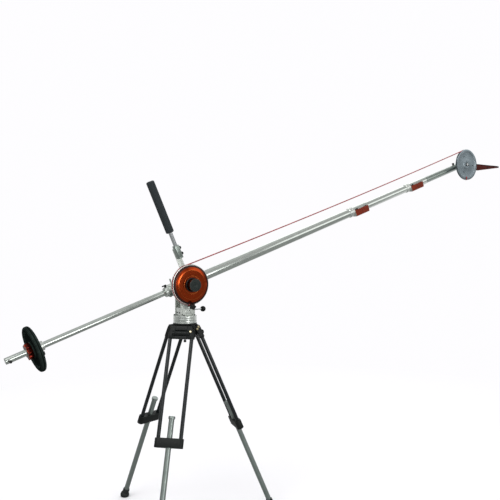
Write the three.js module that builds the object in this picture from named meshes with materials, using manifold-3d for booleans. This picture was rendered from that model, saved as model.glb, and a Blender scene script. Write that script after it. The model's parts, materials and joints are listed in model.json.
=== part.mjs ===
// A camera jib crane on its tripod: a telescoping boom with a counterweight, a levelling cord and a handle.
// Millimetres, +Z up. The boom rises towards +X, and its pulleys and its handle are on the -Y side.
import * as THREE from "three";
import { mergeVertices } from "three/addons/utils/BufferGeometryUtils.js";
import Module from "manifold-3d";

const wasm = await Module();
wasm.setup();
const rad = THREE.MathUtils.degToRad;
const quarterTurn = Math.PI / 2;

// The stance: how high the tilt axis is, how far the boom rises and how far the legs spread
const pivotHeight = 1200;
const boomTilt = rad(19.1);
const handleLean = rad(24.1);
const legSplay = rad(23.4);
const firstLegTurn = rad(-14);
const legNames = ["right", "far", "near"];

// Running and seating clearances, how far a cutter runs past a face, and how many sides round shapes have
const fitGap = 0.3;
const overrun = 4;
const sink = 1;
const discSides = 40;
const tubeSides = 18;
const smallSides = 12;
const nutSides = 6;
const cordSides = 8;

// The pan base: a fixed ring below and the turning base above it
const pivotToBase = 157;
const baseRadius = 59;
const baseEdge = 2;
const turnBaseHeight = 23;
const baseRingHeight = 13.4;
const baseNeckRadius = 56;
const baseNeckHeight = 3;
const panPostRadius = 16;
const panPostHeight = 15;

// The yoke: two cheeks bolted to a web block that stands on the turning base
const yokeGap = 50;
const cheekThickness = 6;
const cheekWidth = 81;
const webWidth = 76;
const webHeight = 39;

// The pan lever: a hub on a pin in the web's slot, with a rod and a ball
const leverPinPlace = 22;
const leverPinRadius = 4;
const leverHubRadius = 9;
const leverSlotHeight = 10;
const leverSlotRise = 21;
const leverRodRadius = 3.5;
const leverBallRadius = 14.5;
const leverReach = 82;

// The star knob on the near cheek
const starDrop = 108;
const starStudRadius = 4;
const starStudInset = 3;
const starStart = 70;
const starDepth = 24;
const starRadius = 13.5;
const starLobe = 2.5;
const starLobes = 5;

// The tilt axle and what turns on it, outwards from the near cheek
const axleRadius = 10;
const axleNutRadius = 16;
const axleNutHeight = 9.7;
const axleShoulderRadius = 15;
const axleThread = 20;
const pulleyStart = 48;
const pulleyThickness = 14;
const pulleyRadius = 102.5;
const pulleyHubRadius = 30;
const pulleyRimInner = 88;
const pulleyRecess = 3;
const pulleyRecessSlope = 4;
const rimLip = 2;
const grooveDepth = 6.5;
const grooveFloor = 5.2;
const discRadius = 97;
const discRim = 5;
const discThickness = 12.6;
const discBevelInner = 78;
const knobRadius = 32;
const knobNeckRadius = 30;
const knobFlangeRadius = 36;
const knobFlangeHeight = 4;
const knobHeight = 34;
const knobEdge = 2;

// The handle: a flat bar behind the pulley, a clamp block, a rod and a foam grip
const barWidth = 30;
const barThickness = 6;
const barStart = 20;
const barEnd = 200;
const clampStart = 146;
const clampEnd = 213;
const clampWidth = 26;
const clampDepth = 28;
const clampFloor = 6;
const handleRodRadius = 10;
const handleRodWall = 2;
const gripStart = 283;
const gripEnd = 548;
const gripRadius = 20;
const gripEdge = 3;
const gripTopWall = 3;
const handleScrewPlace = 195;
const handleScrewRadius = 8;
const handleScrewHeight = 12;
const handleScrewStud = 3;
const handleScrewStudLength = 1.8;

// The head block that the axle carries, with the boom's spigot in front and the rear tube's sleeve behind
const blockRear = 92;
const blockFront = 86;
const blockHalfWidth = 24.6;
const blockHalfHeight = 28;
const blockChamfer = 5;
const sleeveRadius = 24.5;
const sleeveRear = 120;
const rearSocketFloor = 28;
const spigotLength = 44;

// The boom's tubes: how long each is, how much of it shows and where its ring is.
// The outer tube takes up the rest of the reach.
const outerRadius = 25.2;
const middleRadius = 22.8;
const innerRadius = 20.4;
const boomWall = 1.6;
const bushLength = 45;
const tailLength = 15;
const outerRingInset = 150;
const ringLength = 35;
const ringRise = 3.5;
const middleLength = 815;
const middleShown = 558;
const middleRingInset = 195;
const innerLength = 600;
const innerShown = 331;

// The clamps under the ends of the outer and the middle tube, and their screws
const outerClampLength = 111;
const middleClampLength = 113;
const clampSide = 6.5;
const clampBelow = 5;
const clampAboveAxis = 9;
const clampChamfer = 3;
const screwStudRadius = 2.4;
const screwStudLength = 12;
const screwHeadRadius = 4.6;
const screwHeadHeight = 8;
const screwInset = 18;

// The far end: the end block, its knob, the levelling axle and the camera platform
const endReach = 2249;
const endBlockRear = 45;
const endBlockFront = 27;
const endBlockHalf = 20;
const endSpigotLength = 40;
const endKnobPlace = 18;
const endKnobRadius = 7;
const endKnobHeight = 13;
const endKnobStud = 3;
const endAxleRadius = 8;
const endAxleHeadRadius = 13;
const endAxleHead = 9.7;
const endShoulderRadius = 12;
const endAxleTail = 6;
const platformLength = 369;
const platformWidth = 76;
const platformBossRadius = 30;
const platformBossDepth = 11.7;
const platformBodyStart = 45;
const platformTop = 13.7;
const platformTipBottom = 3;
const platformRootBottom = -24;
const platformDeepest = -31;
const platformDeepestPlace = 130;
const platformPlate = 6;
const platformWall = 5;
const cameraSlotWidth = 9;
const cameraSlotStart = 180;
const cameraSlotEnd = 350;

// The rear tube, the weight on it and what holds the weight
const rearRadius = 14.8;
const rearWall = 2;
const rearEnd = 925;
const rearCap = 4;
const endPinInset = 13;
const endPinRadius = 3;
const endPinFar = 40;
const endPinNear = 44;
const endPinHeadRadius = 6;
const endPinHead = 5;
const weightInset = 130;
const weightRadius = 107;
const weightThickness = 25;
const weightHubRadius = 36;
const weightRimInner = 84;
const weightRecess = 4;
const weightEdge = 5;
const lobedCollarRadius = 34;
const lobedCollarLobe = 4;
const lobedCollarLobes = 8;
const lobedCollarLength = 24;
const stopRadius = 22;
const stopLength = 30;
const weightKnobStud = 4;
const weightKnobRadius = 11;
const weightKnobHeight = 20;
const rearLeverPlace = 108;
const rearLeverStud = 3;
const rearLeverHubRadius = 6;
const rearLeverHubHeight = 12;
const rearLeverArm = 17;
const rearLeverArmHeight = 6;
const rearLeverArmWidth = 8;

// The levelling cord in the pulleys' grooves
const cordRadius = 3;
const cordSplitPast = 60;
const headWrapTurn = rad(153);
const endWrapTurn = rad(202);
const cordSteps = 24;

// The tripod's crown: a disc, a three-faced body and a lug for each leg
const crownDiscRadius = 60;
const crownDiscHeight = 6;
const crownBodyHeight = 64;
const crownFaceHalf = 60;
const hingeRadius = 74;
const hingeDrop = 46;
const lugHalfWidth = 30.5;
const lugRadius = 13;
const lugRoot = 30;
const hingePinRadius = 5;
const hingePinBite = 5;
const tieStudRadius = 4;
const tieStudSocket = 9;
const tieNeck = 18;
const tieKnobRadius = 7;
const tieKnobHeight = 12;

// A leg, measured down from its hinge: fitting, two tubes, collar, sliding lower tube and foot
const fittingTop = 38;
const fittingShoulder = 6;
const fittingBottom = 24;
const fittingHalfWidth = 67;
const fittingTopHalf = 52;
const fittingInner = 22;
const fittingOuter = 4;
const fittingBevel = 10;
const fittingFrontWall = 5;
const fittingWindowTop = 16;
const fittingSocket = 24;
const barrelRadius = 13.5;
const barrelHalf = 44;
const twinInset = 10;
const twinSpacing = 110;
const twinRadius = 9.3;
const twinWall = 1.5;
const collarTop = 500;
const collarHeight = 44;
const collarHalfDepth = 17;
const collarHalfWidth = 70;
const collarSocket = 36;
const lowerTop = 400;
const lowerRadius = 13;
const lowerWall = 1.8;
const lowerFlangeRadius = 16;
const lowerFlange = 12;
const footRadius = 24;
const footSink = 12;
const footNeckRadius = 17;
const footSocket = 32;
const footFloor = 18;

// Levels below the tilt axis that follow from the stack of the base
const baseTop = -pivotToBase;
const baseBottom = baseTop - turnBaseHeight;
const ringTop = baseBottom - fitGap;
const ringBottom = ringTop - baseRingHeight;
const crownTop = ringBottom - fitGap;
const crownBottom = crownTop - crownDiscHeight - crownBodyHeight;
const hingeLevel = crownTop - hingeDrop;
const hingeToFloor = pivotHeight + hingeLevel;
const cheekInner = yokeGap / 2;
const cheekOuter = cheekInner + cheekThickness;
const pulleyEnd = pulleyStart + pulleyThickness;
const discStart = pulleyEnd + fitGap;
const discEnd = discStart + discThickness;
const knobStart = discEnd + fitGap;
const cordOffset = pulleyStart + pulleyThickness / 2;
const cordLevel = pulleyRadius - grooveDepth + cordRadius + fitGap;
const barFace = pulleyStart - fitGap;
const handleOffset = pulleyStart + clampDepth / 2;

// Places along the boom that follow from its reach, and on the rear tube from its end
const innerEnd = endReach - endBlockRear;
const innerStart = innerEnd - innerLength;
const middleEnd = innerEnd - innerShown;
const middleStart = middleEnd - middleLength;
const middleRingStart = middleEnd - middleRingInset;
const outerEnd = middleEnd - middleShown;
const outerRingStart = outerEnd - outerRingInset;
const cordSplit = outerEnd + cordSplitPast;
const endPinPlace = rearEnd - endPinInset;
const weightPlace = rearEnd - weightInset;

// Finishes: colour, roughness and metalness
function finish(color, roughness, metalness) {
  return { color, roughness, metalness };
}
const satinAluminium = finish(0xc4cac6, 0.35, 0.85);
const darkAluminium = finish(0x8a938f, 0.4, 0.8);
const blackCasting = finish(0x1c2120, 0.55, 0.2);
const blackPlastic = finish(0x151817, 0.5, 0);
const copperAnodised = finish(0xa0401a, 0.35, 0.8);
const maroonAnodised = finish(0x5e1a12, 0.4, 0.6);
const redCollarFinish = finish(0xc04a30, 0.4, 0.5);
const brightSteel = finish(0xc9cdd0, 0.25, 1);
const castIron = finish(0x1a1e1c, 0.6, 0.3);
const foam = finish(0x30363a, 0.95, 0);
const cordFinish = finish(0xb05058, 0.8, 0);
const rubber = finish(0x101211, 0.9, 0);

// One named sub-part as a mesh with its own material
function part(name, geometry, look) {
  const mesh = new THREE.Mesh(geometry, new THREE.MeshStandardMaterial(look));
  mesh.name = name;
  return mesh;
}

// A body turned about Z from a profile of [radius, height] pairs
function turned(profile, sides) {
  const points = profile.map(([radius, height]) => new THREE.Vector2(radius, height));
  return new THREE.LatheGeometry(points, sides).rotateX(quarterTurn);
}

function rod(radius, start, end, sides) {
  return turned([[0, start], [radius, start], [radius, end], [0, end]], sides);
}

function pipe(outer, inner, start, end, sides) {
  return turned([[inner, start], [outer, start], [outer, end], [inner, end], [inner, start]], sides);
}

// A box between two corners
function block(low, high) {
  const size = high.map((value, axis) => value - low[axis]);
  const middle = high.map((value, axis) => (value + low[axis]) / 2);
  return new THREE.BoxGeometry(...size).translate(...middle);
}

// A flat outline pushed up along Z
function slab(shape, thickness, curveSegments) {
  return new THREE.ExtrudeGeometry(shape, { depth: thickness, bevelEnabled: false, curveSegments });
}

function outline(points) {
  return new THREE.Shape(points.map(([x, y]) => new THREE.Vector2(x, y)));
}

// A closed outline whose radius swells into lobes
function lobedOutline(radius, lobe, lobes) {
  const points = [];
  const count = lobes * 4;
  for (let i = 0; i < count; i += 1) {
    const turn = (i / count) * 2 * Math.PI;
    const reach = radius + lobe * Math.cos(lobes * turn);
    points.push([reach * Math.cos(turn), reach * Math.sin(turn)]);
  }
  return outline(points);
}

// Ways to lay a body that was made along Z: along +X, along -Y, or an outline's plane upright
const alongX = (geometry) => geometry.rotateY(quarterTurn);
const towardsNear = (geometry) => geometry.rotateX(quarterTurn);
const acrossX = (geometry) => geometry.rotateX(quarterTurn).rotateZ(quarterTurn);

// Geometry to solid and back, for cuts and joins
function toSolid(geometry) {
  const bare = geometry.clone();
  bare.deleteAttribute("normal");
  bare.deleteAttribute("uv");
  const welded = mergeVertices(bare);
  const mesh = new wasm.Mesh({
    numProp: 3,
    vertProperties: new Float32Array(welded.attributes.position.array),
    triVerts: new Uint32Array(welded.index.array),
  });
  return new wasm.Manifold(mesh);
}

function toGeometry(solid) {
  const mesh = solid.getMesh();
  const indexed = new THREE.BufferGeometry();
  indexed.setAttribute("position", new THREE.BufferAttribute(mesh.vertProperties, mesh.numProp));
  indexed.setIndex(new THREE.BufferAttribute(mesh.triVerts, 1));
  const flat = indexed.toNonIndexed();
  flat.computeVertexNormals();
  return flat;
}

function joined(...geometries) {
  const solids = geometries.map(toSolid);
  return toGeometry(solids.reduce((whole, next) => whole.add(next)));
}

function cut(geometry, ...cutters) {
  const solids = cutters.map(toSolid);
  return toGeometry(solids.reduce((whole, next) => whole.subtract(next), toSolid(geometry)));
}

// Groups: a frame is a group placed and turned in its parent
function frame(position, turnY = 0, turnZ = 0) {
  const group = new THREE.Group();
  group.position.set(...position);
  group.rotation.set(0, turnY, turnZ);
  return group;
}

// The tripod's crown
function crownGeometry() {
  const bodyTop = crownTop - crownDiscHeight;
  const cornerInset = fittingInner * Math.cos(legSplay) + fittingTop * Math.sin(legSplay);
  const crownFlat = hingeRadius - cornerInset - fitGap;
  const corners = legNames.flatMap((name, leg) => {
    const turn = firstLegTurn + (leg * 2 * Math.PI) / legNames.length;
    return [-crownFaceHalf, crownFaceHalf].map((side) => [
      crownFlat * Math.cos(turn) - side * Math.sin(turn),
      crownFlat * Math.sin(turn) + side * Math.cos(turn),
    ]);
  });
  const body = slab(outline(corners), crownBodyHeight).translate(0, 0, crownBottom);
  const disc = rod(crownDiscRadius, bodyTop - sink, crownTop, discSides);
  const lugs = legNames.flatMap((name, leg) => {
    const turn = firstLegTurn + (leg * 2 * Math.PI) / legNames.length;
    const arm = block([lugRoot, -lugHalfWidth, -lugRadius], [hingeRadius, lugHalfWidth, lugRadius]);
    const nose = towardsNear(rod(lugRadius, -lugHalfWidth, lugHalfWidth, tubeSides))
      .translate(hingeRadius, 0, 0);
    return [arm, nose].map((piece) => piece.rotateZ(turn).translate(0, 0, hingeLevel));
  });
  const bores = legNames.map((name, leg) => {
    const turn = firstLegTurn + (leg * 2 * Math.PI) / legNames.length;
    const half = lugHalfWidth + overrun;
    const bore = towardsNear(rod(hingePinRadius + fitGap, -half, half, smallSides));
    return bore.translate(hingeRadius, 0, 0).rotateZ(turn).translate(0, 0, hingeLevel);
  });
  const centre = rod(tieStudRadius + fitGap, crownBottom - overrun, crownTop + overrun, smallSides);
  return cut(joined(body, disc, ...lugs), centre, ...bores);
}

function tieDownGeometry() {
  const knobTop = crownBottom - tieNeck;
  const studTop = ringBottom + tieStudSocket - fitGap;
  const knob = rod(tieKnobRadius, knobTop - tieKnobHeight, knobTop, nutSides * 2);
  const stud = rod(tieStudRadius, knobTop - sink, studTop, smallSides);
  return joined(knob, stud);
}

// One leg, in its own frame: the hinge is the origin, the leg runs down -Z
// and its tubes lie inwards of the hinge
function besideHinge(geometry, side = 0) {
  return geometry.translate(-twinInset, (side * twinSpacing) / 2, 0);
}

function fittingGeometry() {
  const shape = outline([
    [-fittingHalfWidth, -fittingBottom],
    [fittingHalfWidth, -fittingBottom],
    [fittingHalfWidth, -fittingShoulder],
    [fittingTopHalf, fittingTop],
    [-fittingTopHalf, fittingTop],
    [-fittingHalfWidth, -fittingShoulder],
  ]);
  const body = acrossX(slab(shape, fittingInner + fittingOuter)).translate(-fittingInner, 0, 0);
  const barrel = towardsNear(rod(barrelRadius, -barrelHalf, barrelHalf, tubeSides));
  const slotHalf = lugHalfWidth + fitGap;
  const slotFloor = -lugRadius - fitGap;
  const slot = block(
    [-fittingInner - overrun, -slotHalf, slotFloor],
    [fittingOuter - fittingFrontWall, slotHalf, fittingTop + overrun],
  );
  const window = block(
    [-fittingInner - overrun, -slotHalf, slotFloor],
    [barrelRadius + overrun, slotHalf, fittingWindowTop],
  );
  const foldRoom = towardsNear(rod(barrelRadius + fitGap, -slotHalf, slotHalf, tubeSides));
  const sockets = [-1, 1].map((side) =>
    besideHinge(
      rod(twinRadius + fitGap, -fittingBottom - overrun, fittingSocket - fittingBottom, tubeSides),
      side,
    ),
  );
  const bevels = [-1, 1].map((side) =>
    block([0, -fittingHalfWidth, -fittingHalfWidth], [fittingBevel, fittingHalfWidth, fittingHalfWidth])
      .rotateZ((side * quarterTurn) / 2)
      .translate(fittingOuter - fittingBevel / 2, side * (fittingHalfWidth - fittingBevel / 2), 0),
  );
  const pinHalf = slotHalf + hingePinBite;
  const pin = towardsNear(rod(hingePinRadius, -pinHalf, pinHalf, smallSides));
  return joined(cut(joined(cut(body, ...bevels), barrel), slot, window, foldRoom, ...sockets), pin);
}

function twinTubeGeometry(side) {
  const top = fittingSocket - fittingBottom - fitGap;
  const bottom = -collarTop - collarSocket + fitGap;
  return besideHinge(pipe(twinRadius, twinRadius - twinWall, bottom, top, tubeSides), side);
}

function legCollarGeometry() {
  const endPlace = collarHalfWidth - collarHalfDepth;
  const shape = new THREE.Shape();
  shape.absarc(0, endPlace, collarHalfDepth, 0, Math.PI, false);
  shape.absarc(0, -endPlace, collarHalfDepth, Math.PI, 2 * Math.PI, false);
  const bottom = -collarTop - collarHeight;
  const body = slab(shape, collarHeight, smallSides).translate(0, 0, bottom);
  const sockets = [-1, 1].map((side) =>
    besideHinge(rod(twinRadius + fitGap, -collarTop - collarSocket, -collarTop + overrun, tubeSides), side),
  );
  const bore = besideHinge(rod(lowerRadius + fitGap, bottom - overrun, -collarTop + overrun, tubeSides));
  return cut(besideHinge(body), bore, ...sockets);
}

function lowerTubeGeometry(bottom) {
  const inner = lowerRadius - lowerWall;
  const flangeBottom = -lowerTop - lowerFlange;
  const profile = [
    [inner, bottom],
    [lowerRadius, bottom],
    [lowerRadius, flangeBottom],
    [lowerFlangeRadius, flangeBottom],
    [lowerFlangeRadius, -lowerTop],
    [0, -lowerTop],
    [0, flangeBottom],
    [inner, flangeBottom],
    [inner, bottom],
  ];
  return besideHinge(turned(profile, tubeSides));
}

function footGeometry(floorReach) {
  const centre = -floorReach + footSink;
  const socketFloor = -floorReach + footFloor;
  const neckAngle = Math.acos(footNeckRadius / footRadius);
  const profile = [];
  const steps = 6;
  for (let i = 0; i <= steps; i += 1) {
    const angle = -quarterTurn + ((quarterTurn + neckAngle) * i) / steps;
    const reach = i === 0 ? 0 : footRadius * Math.cos(angle);
    profile.push([reach, centre + footRadius * Math.sin(angle)]);
  }
  const neckTop = socketFloor + footSocket;
  profile.push([footNeckRadius, neckTop]);
  profile.push([lowerRadius + fitGap, neckTop]);
  profile.push([lowerRadius + fitGap, socketFloor]);
  profile.push([0, socketFloor]);
  const floorNormal = [Math.sin(legSplay), 0, Math.cos(legSplay)];
  const whole = toSolid(besideHinge(turned(profile, tubeSides)));
  return toGeometry(whole.trimByPlane(floorNormal, -hingeToFloor));
}

function leg(name, turn) {
  const floorReach = (hingeToFloor - twinInset * Math.sin(legSplay)) / Math.cos(legSplay);
  const lowerBottom = -floorReach + footFloor + fitGap;
  const hinge = frame([hingeRadius, 0, hingeLevel], -legSplay);
  hinge.add(part(`leg_${name}_fitting`, fittingGeometry(), blackCasting));
  hinge.add(part(`leg_${name}_tube_left`, twinTubeGeometry(1), blackPlastic));
  hinge.add(part(`leg_${name}_tube_right`, twinTubeGeometry(-1), blackPlastic));
  hinge.add(part(`leg_${name}_collar`, legCollarGeometry(), blackCasting));
  hinge.add(part(`leg_${name}_lower_tube`, lowerTubeGeometry(lowerBottom), darkAluminium));
  hinge.add(part(`leg_${name}_foot`, footGeometry(floorReach), rubber));
  const spoke = frame([0, 0, 0], 0, turn);
  spoke.add(hinge);
  return spoke;
}

// The pan base
function baseRingGeometry() {
  const studBore = tieStudRadius + fitGap;
  const neckBottom = ringTop - baseNeckHeight;
  const postTop = baseBottom + panPostHeight;
  return turned(
    [
      [0, ringBottom + tieStudSocket],
      [studBore, ringBottom + tieStudSocket],
      [studBore, ringBottom],
      [baseRadius, ringBottom],
      [baseRadius, neckBottom],
      [baseNeckRadius, neckBottom],
      [baseNeckRadius, ringTop],
      [panPostRadius, ringTop],
      [panPostRadius, postTop],
      [0, postTop],
    ],
    discSides,
  );
}

function turnBaseGeometry() {
  const postBore = panPostRadius + fitGap;
  const boreTop = baseBottom + panPostHeight + fitGap;
  const disc = turned(
    [
      [postBore, baseBottom],
      [baseRadius, baseBottom],
      [baseRadius, baseTop - baseEdge],
      [baseRadius - baseEdge, baseTop],
      [0, baseTop],
      [0, boreTop],
      [postBore, boreTop],
      [postBore, baseBottom],
    ],
    discSides,
  );
  const webHalf = cheekInner - fitGap;
  const webTop = baseTop + webHeight;
  const web = block([-webWidth / 2, -webHalf, baseTop - sink], [webWidth / 2, webHalf, webTop]);
  const slotBottom = baseTop + leverSlotRise;
  const slotTop = slotBottom + leverSlotHeight;
  const slotRoot = leverPinPlace - leverHubRadius - overrun;
  const slot = block(
    [slotRoot, -webHalf - overrun, slotBottom],
    [webWidth / 2 + overrun, webHalf + overrun, slotTop],
  );
  const pin = rod(leverPinRadius, slotBottom - sink, slotTop + sink, smallSides)
    .translate(leverPinPlace, 0, 0);
  return joined(cut(joined(disc, web), slot), pin);
}

function cheekGeometry(hasStarHole) {
  const half = cheekWidth / 2;
  const shape = new THREE.Shape();
  shape.moveTo(-half, baseTop + fitGap);
  shape.lineTo(half, baseTop + fitGap);
  shape.lineTo(half, 0);
  shape.absarc(0, 0, half, 0, Math.PI, false);
  const body = towardsNear(slab(shape, cheekThickness, smallSides));
  const reach = cheekThickness + overrun;
  const holes = [towardsNear(rod(axleRadius + fitGap, -overrun, reach, tubeSides))];
  if (hasStarHole) {
    const starHole = towardsNear(rod(starStudRadius + fitGap, -overrun, reach, smallSides));
    holes.push(starHole.translate(0, 0, -starDrop));
  }
  return cut(body, ...holes);
}

function panLeverGeometry() {
  const level = baseTop + leverSlotRise + leverSlotHeight / 2;
  const hubHalf = leverSlotHeight / 2 - fitGap;
  const hub = rod(leverHubRadius, -hubHalf, hubHalf, tubeSides);
  const pinBore = rod(leverPinRadius + fitGap, -hubHalf - overrun, hubHalf + overrun, smallSides);
  const profile = [[0, leverPinRadius + fitGap + sink], [leverRodRadius, leverPinRadius + fitGap + sink]];
  const neckAngle = Math.asin(leverRodRadius / leverBallRadius);
  const steps = 8;
  for (let i = 0; i <= steps; i += 1) {
    const angle = neckAngle + ((Math.PI - neckAngle) * i) / steps;
    const reach = i === steps ? 0 : leverBallRadius * Math.sin(angle);
    profile.push([reach, leverReach - leverBallRadius * Math.cos(angle)]);
  }
  const arm = alongX(turned(profile, smallSides));
  return joined(cut(hub, pinBore), arm).translate(leverPinPlace, 0, level);
}

function starKnobGeometry() {
  const head = towardsNear(slab(lobedOutline(starRadius, starLobe, starLobes), starDepth))
    .translate(0, -starStart, 0);
  const stud = towardsNear(rod(starStudRadius, cheekInner - starStudInset, starStart + sink, smallSides));
  return joined(head, stud).translate(0, 0, -starDrop);
}

// The axle and what sits on it; profiles run from the far side towards the near side
function axleGeometry() {
  const near = knobStart + axleThread;
  const profile = [
    [0, -cheekOuter - fitGap - axleNutHeight],
    [axleNutRadius, -cheekOuter - fitGap - axleNutHeight],
    [axleNutRadius, -cheekOuter - fitGap],
    [axleRadius, -cheekOuter - fitGap],
    [axleRadius, cheekOuter + fitGap],
    [axleShoulderRadius, cheekOuter + fitGap],
    [axleShoulderRadius, barFace],
    [axleRadius, barFace],
    [axleRadius, near],
    [0, near],
  ];
  return towardsNear(turned(profile, tubeSides));
}

function pulleyGeometry(boreRadius) {
  const back = pulleyStart;
  const front = pulleyEnd;
  const middle = (back + front) / 2;
  const floorRadius = pulleyRadius - grooveDepth;
  const webOuter = pulleyRimInner - pulleyRecessSlope;
  const webInner = pulleyHubRadius + pulleyRecessSlope;
  const profile = [
    [boreRadius, back],
    [pulleyHubRadius, back],
    [webInner, back + pulleyRecess],
    [webOuter, back + pulleyRecess],
    [pulleyRimInner, back],
    [pulleyRadius, back],
    [pulleyRadius, back + rimLip],
    [floorRadius, middle - grooveFloor / 2],
    [floorRadius, middle + grooveFloor / 2],
    [pulleyRadius, front - rimLip],
    [pulleyRadius, front],
    [pulleyRimInner, front],
    [webOuter, front - pulleyRecess],
    [webInner, front - pulleyRecess],
    [pulleyHubRadius, front],
    [boreRadius, front],
    [boreRadius, back],
  ];
  return towardsNear(turned(profile, discSides));
}

function dragDiscGeometry() {
  const bore = axleRadius + fitGap;
  const profile = [
    [bore, discStart],
    [discRadius, discStart],
    [discRadius, discStart + discRim],
    [discBevelInner, discEnd],
    [bore, discEnd],
    [bore, discStart],
  ];
  return towardsNear(turned(profile, discSides));
}

function hubKnobGeometry() {
  const bore = axleRadius + fitGap;
  const face = knobStart + knobHeight;
  const boreEnd = knobStart + axleThread + fitGap;
  const profile = [
    [bore, knobStart],
    [knobFlangeRadius, knobStart],
    [knobFlangeRadius, knobStart + knobFlangeHeight],
    [knobNeckRadius, knobStart + knobFlangeHeight],
    [knobRadius, face - knobEdge],
    [knobRadius - knobEdge, face],
    [0, face],
    [0, boreEnd],
    [bore, boreEnd],
    [bore, knobStart],
  ];
  return towardsNear(turned(profile, tubeSides));
}

// The handle, in a frame whose Z runs out along the rod
function handleBarGeometry() {
  return block([-barWidth / 2, -barFace, barStart], [barWidth / 2, barThickness - barFace, barEnd]);
}

function handleClampGeometry() {
  const half = clampWidth / 2;
  const body = block([-half, -pulleyStart - clampDepth, clampStart], [half, -pulleyStart, clampEnd]);
  const bore = rod(handleRodRadius + fitGap, clampStart + clampFloor, clampEnd + overrun, tubeSides)
    .translate(0, -handleOffset, 0);
  const studStart = half - handleScrewStudLength - fitGap;
  const screwHole = alongX(rod(handleScrewStud + fitGap, studStart, half + overrun, smallSides))
    .translate(0, -handleOffset, handleScrewPlace);
  return cut(body, bore, screwHole);
}

function handleScrewGeometry() {
  const face = clampWidth / 2 + fitGap;
  const head = rod(handleScrewRadius, face, face + handleScrewHeight, smallSides);
  const stud = rod(handleScrewStud, face - handleScrewStudLength, face + sink, smallSides);
  return alongX(joined(head, stud)).translate(0, -handleOffset, handleScrewPlace);
}

function handleRodGeometry() {
  const start = clampStart + clampFloor + fitGap;
  const end = gripEnd - gripTopWall - fitGap;
  return pipe(handleRodRadius, handleRodRadius - handleRodWall, start, end, tubeSides)
    .translate(0, -handleOffset, 0);
}

function gripGeometry() {
  const bore = handleRodRadius + fitGap;
  const profile = [
    [bore, gripStart],
    [gripRadius - gripEdge, gripStart],
    [gripRadius, gripStart + gripEdge],
    [gripRadius, gripEnd - gripEdge],
    [gripRadius - gripEdge, gripEnd],
    [0, gripEnd],
    [0, gripEnd - gripTopWall],
    [bore, gripEnd - gripTopWall],
    [bore, gripStart],
  ];
  return turned(profile, tubeSides).translate(0, -handleOffset, 0);
}

// The boom, in a frame whose X runs up the boom from the tilt axis
function headBlockGeometry() {
  const edgeY = blockHalfWidth - blockChamfer;
  const edgeZ = blockHalfHeight - blockChamfer;
  const section = outline([
    [-blockHalfWidth, -edgeZ],
    [-edgeY, -blockHalfHeight],
    [edgeY, -blockHalfHeight],
    [blockHalfWidth, -edgeZ],
    [blockHalfWidth, edgeZ],
    [edgeY, blockHalfHeight],
    [-edgeY, blockHalfHeight],
    [-blockHalfWidth, edgeZ],
  ]);
  const body = acrossX(slab(section, blockRear + blockFront)).translate(-blockRear, 0, 0);
  const sleeve = alongX(rod(sleeveRadius, -sleeveRear, sink - blockRear, tubeSides));
  const spigotRadius = outerRadius - boomWall - fitGap;
  const spigot = alongX(rod(spigotRadius, blockFront - sink, blockFront + spigotLength, tubeSides));
  const socket = alongX(rod(rearRadius + fitGap, -sleeveRear - overrun, -rearSocketFloor, tubeSides));
  const halfCut = blockHalfWidth + overrun;
  const axleBore = towardsNear(rod(axleRadius + fitGap, -halfCut, halfCut, tubeSides));
  const leverHole = rod(rearLeverStud + fitGap, rearRadius, sleeveRadius + overrun, smallSides)
    .translate(-rearLeverPlace, 0, 0);
  return cut(joined(body, sleeve, spigot), socket, axleBore, leverHole);
}

function rearLeverGeometry() {
  const seat = sleeveRadius + fitGap;
  const top = seat + rearLeverHubHeight;
  const hub = rod(rearLeverHubRadius, seat, top, smallSides);
  const stud = rod(rearLeverStud, rearRadius + sink, seat + sink, smallSides);
  const halfArm = rearLeverArmWidth / 2;
  const arm = block([-rearLeverArm, -halfArm, top - rearLeverArmHeight], [0, halfArm, top]);
  return joined(hub, stud, arm).translate(-rearLeverPlace, 0, 0);
}

// A boom tube with a raised ring, a tail that fills the tube it slides in and a bush at its mouth
function boomTube(radius, start, end, ringStart, tailRadius, bushRadius) {
  const inner = radius - boomWall;
  const ringEnd = ringStart + ringLength;
  const profile = [[inner, start]];
  if (tailRadius) {
    profile.push([tailRadius, start]);
    profile.push([tailRadius, start + tailLength]);
    profile.push([radius, start + tailLength]);
  } else {
    profile.push([radius, start]);
  }
  if (ringStart) {
    profile.push([radius, ringStart]);
    profile.push([radius + ringRise, ringStart]);
    profile.push([radius + ringRise, ringEnd]);
    profile.push([radius, ringEnd]);
  }
  profile.push([radius, end]);
  if (bushRadius) {
    profile.push([bushRadius, end]);
    profile.push([bushRadius, end - bushLength]);
    profile.push([inner, end - bushLength]);
  } else {
    profile.push([inner, end]);
  }
  profile.push([inner, start]);
  return alongX(turned(profile, tubeSides));
}

function clampGeometry(tubeRadius, start, length) {
  const side = tubeRadius + clampSide;
  const bottom = -tubeRadius - clampBelow;
  const section = outline([
    [-side, bottom + clampChamfer],
    [-side + clampChamfer, bottom],
    [side - clampChamfer, bottom],
    [side, bottom + clampChamfer],
    [side, clampAboveAxis],
    [-side, clampAboveAxis],
  ]);
  const body = acrossX(slab(section, length)).translate(start, 0, 0);
  const bore = alongX(rod(tubeRadius + fitGap, start - overrun, start + length + overrun, tubeSides));
  const studHole = rod(
    screwStudRadius + fitGap,
    clampAboveAxis - screwStudLength - fitGap,
    clampAboveAxis + overrun,
    smallSides,
  ).translate(start + screwInset, -clampScrewOffset(tubeRadius), 0);
  return cut(body, bore, studHole);
}

function clampScrewOffset(tubeRadius) {
  return tubeRadius + clampSide / 2;
}

function clampScrewGeometry(tubeRadius, start) {
  const seat = clampAboveAxis + fitGap;
  const head = rod(screwHeadRadius, seat, seat + screwHeadHeight, smallSides);
  const stud = rod(screwStudRadius, clampAboveAxis - screwStudLength, seat + sink, smallSides);
  return joined(head, stud).translate(start + screwInset, -clampScrewOffset(tubeRadius), 0);
}

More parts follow.
